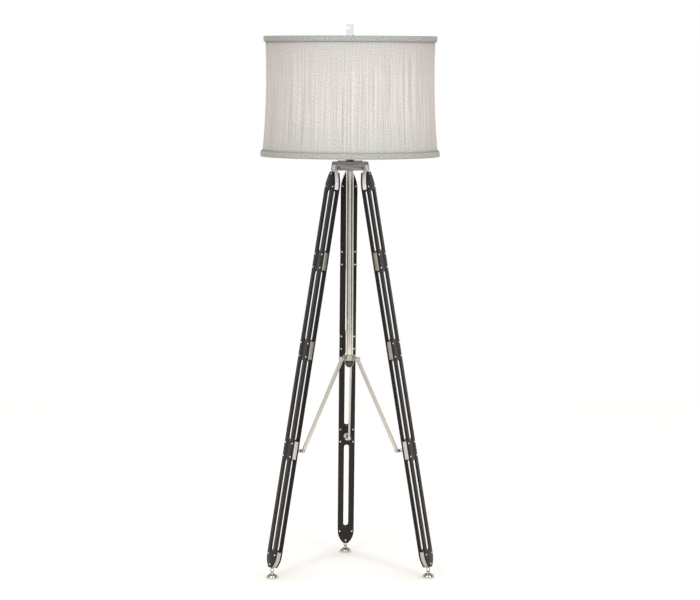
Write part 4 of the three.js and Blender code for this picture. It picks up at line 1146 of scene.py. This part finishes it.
def strip_around(tree, columns, rows):
    """Starts a cloth band as a flat strip with a map of its own. Gives the strip, each point's
    place across it, its turn round the band, and that turn's cosine and sine."""
    strip = node(tree, "GeometryNodeMeshGrid", {
        "Size X": 1.0, "Size Y": 1.0, "Vertices X": columns, "Vertices Y": rows})
    mapped = node(tree, "GeometryNodeStoreNamedAttribute", {
        "Geometry": strip.outputs["Mesh"], "Name": "cloth", "Value": strip.outputs["UV Map"]},
        data_type="FLOAT2", domain="CORNER")
    spot = node(tree, "ShaderNodeSeparateXYZ", (node(tree, "GeometryNodeInputPosition"),)).outputs
    share = node(tree, "ShaderNodeMath", (spot["X"], 0.5), operation="ADD")
    turn = node(tree, "ShaderNodeMath", (share, 2 * math.pi), operation="MULTIPLY")
    cosine = node(tree, "ShaderNodeMath", (turn,), operation="COSINE")
    sine = node(tree, "ShaderNodeMath", (turn,), operation="SINE")
    return mapped, spot["Y"], turn, cosine, sine


def bent_round(tree, strip, across, radius, height, finish, output):
    """Ends a cloth band: bends the strip to its radius and height, joins its ends and gives it
    its finish."""
    x, y = (node(tree, "ShaderNodeMath", (way, radius), operation="MULTIPLY") for way in across)
    spot = node(tree, "ShaderNodeCombineXYZ", (x, y, height))
    placed = node(tree, "GeometryNodeSetPosition", {"Geometry": strip, "Position": spot})
    sewn = node(tree, "GeometryNodeMergeByDistance", {"Geometry": placed, "Distance": 1e-5})
    smooth = node(tree, "GeometryNodeSetShadeSmooth", {"Geometry": sewn})
    dressed = node(tree, "GeometryNodeSetMaterial", {"Geometry": smooth, "Material": finish})
    node(tree, "NodeGroupOutput", {output: dressed})


draping, given = group_with("gathered_drum", [
    ("Blank", SHAPE), ("Columns", WHOLE), ("Rows", WHOLE), ("Low", FLOAT), ("Rise", FLOAT),
    ("Waist", FLOAT), ("Top Growth", FLOAT), ("Foot Growth", FLOAT), ("Waist At", FLOAT),
    ("Flare", FLOAT), ("Fold Depth", FLOAT), ("Fold Spacing", FLOAT), ("Finish", FINISH)], "Cloth")
strip, across, turn, cosine, sine = strip_around(draping, given["Columns"], given["Rows"])
up = node(draping, "ShaderNodeMath", (across, 0.5), operation="ADD")
above = node(draping, "ShaderNodeMath", (up, given["Waist At"]), operation="SUBTRACT")
room_above = node(draping, "ShaderNodeMath", (1.0, given["Waist At"]), operation="SUBTRACT")
above_share = node(draping, "ShaderNodeMath", (above, room_above), operation="DIVIDE")
over = node(draping, "ShaderNodeMath", (0.0, above_share), operation="MAXIMUM")
up_share = node(draping, "ShaderNodeMath", (up, given["Waist At"]), operation="DIVIDE")
below_share = node(draping, "ShaderNodeMath", (1.0, up_share), operation="SUBTRACT")
under = node(draping, "ShaderNodeMath", (0.0, below_share), operation="MAXIMUM")
over_curve = node(draping, "ShaderNodeMath", (over, 2.0), operation="POWER")
over_growth = node(draping, "ShaderNodeMath", (given["Top Growth"], over_curve),
                   operation="MULTIPLY")
under_curve = node(draping, "ShaderNodeMath", (under, given["Flare"]), operation="POWER")
under_growth = node(draping, "ShaderNodeMath", (given["Foot Growth"], under_curve),
                    operation="MULTIPLY")
narrow = node(draping, "ShaderNodeMath", (given["Waist"], over_growth), operation="ADD")
wide = node(draping, "ShaderNodeMath", (narrow, under_growth), operation="ADD")
folds = node(draping, "ShaderNodeMath", (given["Waist"], given["Fold Spacing"]),
             operation="DIVIDE")
where = node(draping, "ShaderNodeCombineXYZ", [
    node(draping, "ShaderNodeMath", pair, operation="MULTIPLY")
    for pair in ((cosine, folds), (sine, folds), (up, FOLD_DRIFT))])
ripple = node(draping, "ShaderNodeTexNoise", {
    "Vector": where, "Scale": 1.0, "Detail": 1.5, "Roughness": 0.6})
creased = node(draping, "ShaderNodeMath", (ripple, *FOLD_CONTRAST), operation="MULTIPLY_ADD")
depth = node(draping, "ShaderNodeMath", (given["Fold Depth"], creased), operation="MULTIPLY")
inward = node(draping, "ShaderNodeMath", (0.0, depth), operation="MINIMUM")
radius = node(draping, "ShaderNodeMath", (wide, inward), operation="ADD")
height = node(draping, "ShaderNodeMath", (up, given["Rise"], given["Low"]),
              operation="MULTIPLY_ADD")
bent_round(draping, strip, (cosine, sine), radius, height, given["Finish"], "Cloth")

# Slubbed off-white cloth, cotton and viscose, gathered over a white backing. It is matt, with
# a soft sheen at grazing angles and thin upright slubs. Painted light and shade run up it: lighter
# and faintly pink in the middle, darker and cooler towards both rims. Real slubs and threads are
# about 0.3 mm wide. The slubs are drawn 1.6 mm wide and the knots of the weave 2.4 mm by 4.3 mm,
# so that they show.
cloth, tree, shader = finish_named("slubbed_offwhite_cloth")
own = node(tree, "ShaderNodeUVMap", uv_map="cloth")
apart = node(tree, "ShaderNodeSeparateXYZ", {0: own.outputs["UV"]})
# Painted light in the middle of the cloth and painted shade towards both rims, by height.
painted_rim_shade = node(tree, "ShaderNodeValToRGB", {0: apart.outputs["Y"]})
painted_rim_shade.color_ramp.elements[0].position = 0.02
painted_rim_shade.color_ramp.elements[0].color = linear("#d6d6d1")
painted_rim_shade.color_ramp.elements[1].position = 0.98
painted_rim_shade.color_ramp.elements[1].color = linear("#dfdcd9")
painted_rim_shade.color_ramp.elements.new(0.35).color = linear("#eae4e1")
painted_rim_shade.color_ramp.elements.new(0.65).color = linear("#ebe5e2")
stretched = node(tree, "ShaderNodeMapping", {"Vector": own.outputs["UV"], "Scale": (900, 1.1, 1)})
slubs = node(tree, "ShaderNodeTexNoise", {
    "Vector": stretched.outputs[0], "Scale": 1.0, "Detail": 2.0, "Roughness": 0.6})
shade = node(tree, "ShaderNodeMapRange", {
    "Value": slubs.outputs["Fac"], "From Min": 0.3, "From Max": 0.66, "To Min": 0.64,
    "To Max": 1.11})
threads = node(tree, "ShaderNodeMapping", {"Vector": own.outputs["UV"], "Scale": (620, 76, 1)})
weave = node(tree, "ShaderNodeTexNoise", {
    "Vector": threads.outputs[0], "Scale": 1.0, "Detail": 2.0})
knots = node(tree, "ShaderNodeMapRange", {
    "Value": weave.outputs["Fac"], "From Min": 0.3, "From Max": 0.7, "To Min": 0.76,
    "To Max": 1.14})
marked = node(tree, "ShaderNodeMath", {
    0: shade.outputs["Result"], 1: knots.outputs["Result"]}, operation="MULTIPLY")
coloured = node(tree, "ShaderNodeVectorMath", {
    0: painted_rim_shade.outputs["Color"], "Scale": marked.outputs[0]}, operation="SCALE")
tree.links.new(coloured.outputs[0], shader.inputs["Base Color"])
relief = node(tree, "ShaderNodeBump", {
    "Height": weave.outputs["Fac"], "Strength": 0.25, "Distance": 0.0003})
tree.links.new(relief.outputs["Normal"], shader.inputs["Normal"])
shader.inputs["Roughness"].default_value = 0.92
shader.inputs["Sheen Weight"].default_value = 0.15
shader.inputs["Specular IOR Level"].default_value = 0.2

fabric = grown("shade_cloth", bpy.data.meshes.new("blank"), draping, Columns=CLOTH_COLUMNS + 1,
               Rows=CLOTH_ROWS + 1, Low=(shade_low + CLOTH_GAP) * MM,
               Rise=(shade_rise - 2 * CLOTH_GAP) * MM, Waist=WAIST_RADIUS * MM,
               Top_Growth=(TOP_RADIUS - WAIST_RADIUS) * MM,
               Foot_Growth=(BOTTOM_RADIUS - WAIST_RADIUS) * MM, Waist_At=WAIST_AT, Flare=FLARE,
               Fold_Depth=FOLD_DEPTH * MM, Fold_Spacing=FOLD_SPACING * MM, Finish=cloth)
fabric.data.transform(lamp_axis)
thicken = fabric.modifiers.new("backing", "SOLIDIFY")
thicken.thickness, thicken.offset = BACKING_THICKNESS * MM, -1
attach(fabric, "shade")
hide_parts("shade_fabric")


# ---- Shade trims ----
# A padded roll of the same cloth in grey-green is folded over each rim. Its weave is fine and
# even, and the roll is pulled into shallow slanting creases.
TRIM_COLUMNS = 720
TRIM_SECTION = 20
TRIM_HEIGHT = 16.0
TRIM_THICKNESS = 5.0
CREASE_DEPTH = 0.35
CREASE_SLANT = 0.035
CREASE_SCALE = 34.0
CREASE_DRIFT = 0.8
CREASE_CONTRAST = (4.0, -3.0)  # as for the folds
ROLL_SWELL = 0.62  # 1 gives a round roll, and less a squarer one
ROLL_SHOULDER = 0.75
ROLL_GAP = 0.2

rolling, given = group_with("padded_roll", [
    ("Blank", SHAPE), ("Columns", WHOLE), ("Section", WHOLE), ("Low", FLOAT), ("Rise", FLOAT),
    ("Low Radius", FLOAT), ("High Radius", FLOAT), ("Thickness", FLOAT), ("Crease Depth", FLOAT),
    ("Finish", FINISH)], "Roll")
strip, across, turn, cosine, sine = strip_around(rolling, given["Columns"], given["Section"])
round_it = node(rolling, "ShaderNodeMath", (across, 2 * math.pi), operation="MULTIPLY")
bulges = []
for wave, power in (("COSINE", ROLL_SWELL), ("SINE", ROLL_SHOULDER)):
    reach_out = node(rolling, "ShaderNodeMath", (round_it,), operation=wave)
    sign = node(rolling, "ShaderNodeMath", (reach_out,), operation="SIGN")
    size = node(rolling, "ShaderNodeMath", (reach_out,), operation="ABSOLUTE")
    full = node(rolling, "ShaderNodeMath", (size, power), operation="POWER")
    bulges += [reach_out, node(rolling, "ShaderNodeMath", (sign, full), operation="MULTIPLY")]
outward, swell, _, shoulder = bulges
level = node(rolling, "ShaderNodeMath", (shoulder, 0.5, 0.5), operation="MULTIPLY_ADD")
growth = node(rolling, "ShaderNodeMath", (given["High Radius"], given["Low Radius"]),
              operation="SUBTRACT")
lean = node(rolling, "ShaderNodeMath", (level, growth, given["Low Radius"]),
            operation="MULTIPLY_ADD")
slant = node(rolling, "ShaderNodeMath", (level, CREASE_SLANT, turn), operation="MULTIPLY_ADD")
slant_cosine, slant_sine = (node(rolling, "ShaderNodeMath", (slant,), operation=wave)
                            for wave in ("COSINE", "SINE"))
where = node(rolling, "ShaderNodeCombineXYZ", [
    node(rolling, "ShaderNodeMath", pair, operation="MULTIPLY")
    for pair in ((slant_cosine, CREASE_SCALE), (slant_sine, CREASE_SCALE),
                 (level, CREASE_DRIFT))])
creases = node(rolling, "ShaderNodeTexNoise", {
    "Vector": where, "Scale": 1.0, "Detail": 3.0, "Roughness": 0.6})
creased = node(rolling, "ShaderNodeMath", (creases, *CREASE_CONTRAST), operation="MULTIPLY_ADD")
depth = node(rolling, "ShaderNodeMath", (given["Crease Depth"], creased), operation="MULTIPLY")
inward = node(rolling, "ShaderNodeMath", (0.0, depth), operation="MINIMUM")
outer = node(rolling, "ShaderNodeMath", (0.0, outward), operation="MAXIMUM")
dent = node(rolling, "ShaderNodeMath", (inward, outer), operation="MULTIPLY")
dented = node(rolling, "ShaderNodeMath", (lean, dent), operation="ADD")
fullness = node(rolling, "ShaderNodeMath", (swell, 0.5, 0.5), operation="MULTIPLY_ADD")
padding = node(rolling, "ShaderNodeMath", (given["Thickness"], fullness), operation="MULTIPLY")
radius = node(rolling, "ShaderNodeMath", (dented, padding), operation="ADD")
height = node(rolling, "ShaderNodeMath", (level, given["Rise"], given["Low"]),
              operation="MULTIPLY_ADD")
bent_round(rolling, strip, (cosine, sine), radius, height, given["Finish"], "Roll")

# Fine plain-woven cloth, dyed grey-green and padded: matt and even. Real threads are 0.3 mm
# apart and are drawn 3 mm apart, so that they show. Painted shade darkens the roll where it turns in.
trim_cloth, tree, shader = finish_named("padded_grey_green_trim")
own = node(tree, "ShaderNodeUVMap", uv_map="cloth")
threads = node(tree, "ShaderNodeMapping", {"Vector": own.outputs["UV"], "Scale": (500, 15, 1)})
weave = node(tree, "ShaderNodeTexNoise", {
    "Vector": threads.outputs[0], "Scale": 1.0, "Detail": 3.0, "Roughness": 0.7})
tone = node(tree, "ShaderNodeValToRGB", {0: weave.outputs["Fac"]})
tone.color_ramp.elements[0].position = 0.34
tone.color_ramp.elements[0].color = linear("#7d807a")
tone.color_ramp.elements[1].position = 0.66
tone.color_ramp.elements[1].color = linear("#dbded8")
around = node(tree, "ShaderNodeSeparateXYZ", {0: own.outputs["UV"]})
# Painted shade: the colour darkens towards both edges of the roll's section, where it turns in.
painted_tuck_shade = node(tree, "ShaderNodeValToRGB", {0: around.outputs["Y"]})
for stop, place in zip(painted_tuck_shade.color_ramp.elements, (0.27, 0.73)):
    stop.position, stop.color = place, (0.5, 0.5, 0.5, 1)
for place, light in ((0.36, 0.9), (0.46, 1.0), (0.56, 1.0), (0.66, 0.92)):
    painted_tuck_shade.color_ramp.elements.new(place).color = (light, light, light, 1)
tuck_shaded = node(tree, "ShaderNodeVectorMath", {
    0: tone.outputs["Color"], 1: painted_tuck_shade.outputs["Color"]}, operation="MULTIPLY")
tree.links.new(tuck_shaded.outputs[0], shader.inputs["Base Color"])
relief = node(tree, "ShaderNodeBump", {
    "Height": weave.outputs["Fac"], "Strength": 0.5, "Distance": 0.0004})
tree.links.new(relief.outputs["Normal"], shader.inputs["Normal"])
shader.inputs["Roughness"].default_value = 0.9
shader.inputs["Sheen Weight"].default_value = 0.1
shader.inputs["Specular IOR Level"].default_value = 0.2

for name, low in (("shade_trim_top", shade_high - TRIM_HEIGHT), ("shade_trim_bottom", shade_low)):
    roll = grown(f"{name}_roll", bpy.data.meshes.new("blank"), rolling, Columns=TRIM_COLUMNS + 1,
                 Section=TRIM_SECTION + 1, Low=low * MM, Rise=TRIM_HEIGHT * MM,
                 Low_Radius=(cloth_radius(low) + ROLL_GAP) * MM,
                 High_Radius=(cloth_radius(low + TRIM_HEIGHT) + ROLL_GAP) * MM,
                 Thickness=TRIM_THICKNESS * MM, Crease_Depth=CREASE_DEPTH * MM, Finish=trim_cloth)
    roll.data.transform(lamp_axis)
    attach(roll, "shade")
    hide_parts(name)


# ---- Ferrule and finial ----
# The harp's threaded stud takes a nickel ferrule, glued into a block of clear cast acrylic
# that is turned a little off the square and polished on all its faces.
FERRULE_RADIUS = 7.0
FERRULE_BORE = 3.4
FINIAL_TURN = math.radians(-10)
FINIAL_EASE = 0.9

# Clear cast acrylic: mostly transparent, with a trace of grey in its depth and at its edges.
acrylic = mottled("clear_cast_acrylic", 90.0, 1.0, ("#dcdce6", "#e4e4ec"), Roughness=0.02,
                  IOR=1.36, Transmission_Weight=0.62)

low, high = heights("finial_ferrule")
ferrule = eased([(0, high), (FERRULE_RADIUS * 0.8, high), (FERRULE_RADIUS, high - 2.6),
                 (FERRULE_RADIUS, low + 1.6), (FERRULE_RADIUS - 0.6, low + 1.0),
                 (FERRULE_RADIUS, low + 0.4), (FERRULE_RADIUS, low), (FERRULE_BORE, low),
                 (FERRULE_BORE, high - 2), (0, high - 2)], 0.4, closed=False)
settle("finial_ferrule", turned(ferrule, 48), lamp_axis, nickel)

low, high = extent("finial", lamp_axis @ Matrix.Rotation(FINIAL_TURN, 4, "Z"))
half = high.x
square = [(-half, -half), (half, -half), (half, half), (-half, half)]
block = plate(eased(square, FINIAL_EASE), [], low.z, high.z, FINIAL_EASE * 0.7)
settle("finial", moved(block, Matrix.Rotation(FINIAL_TURN, 4, "Z")), lamp_axis, acrylic)
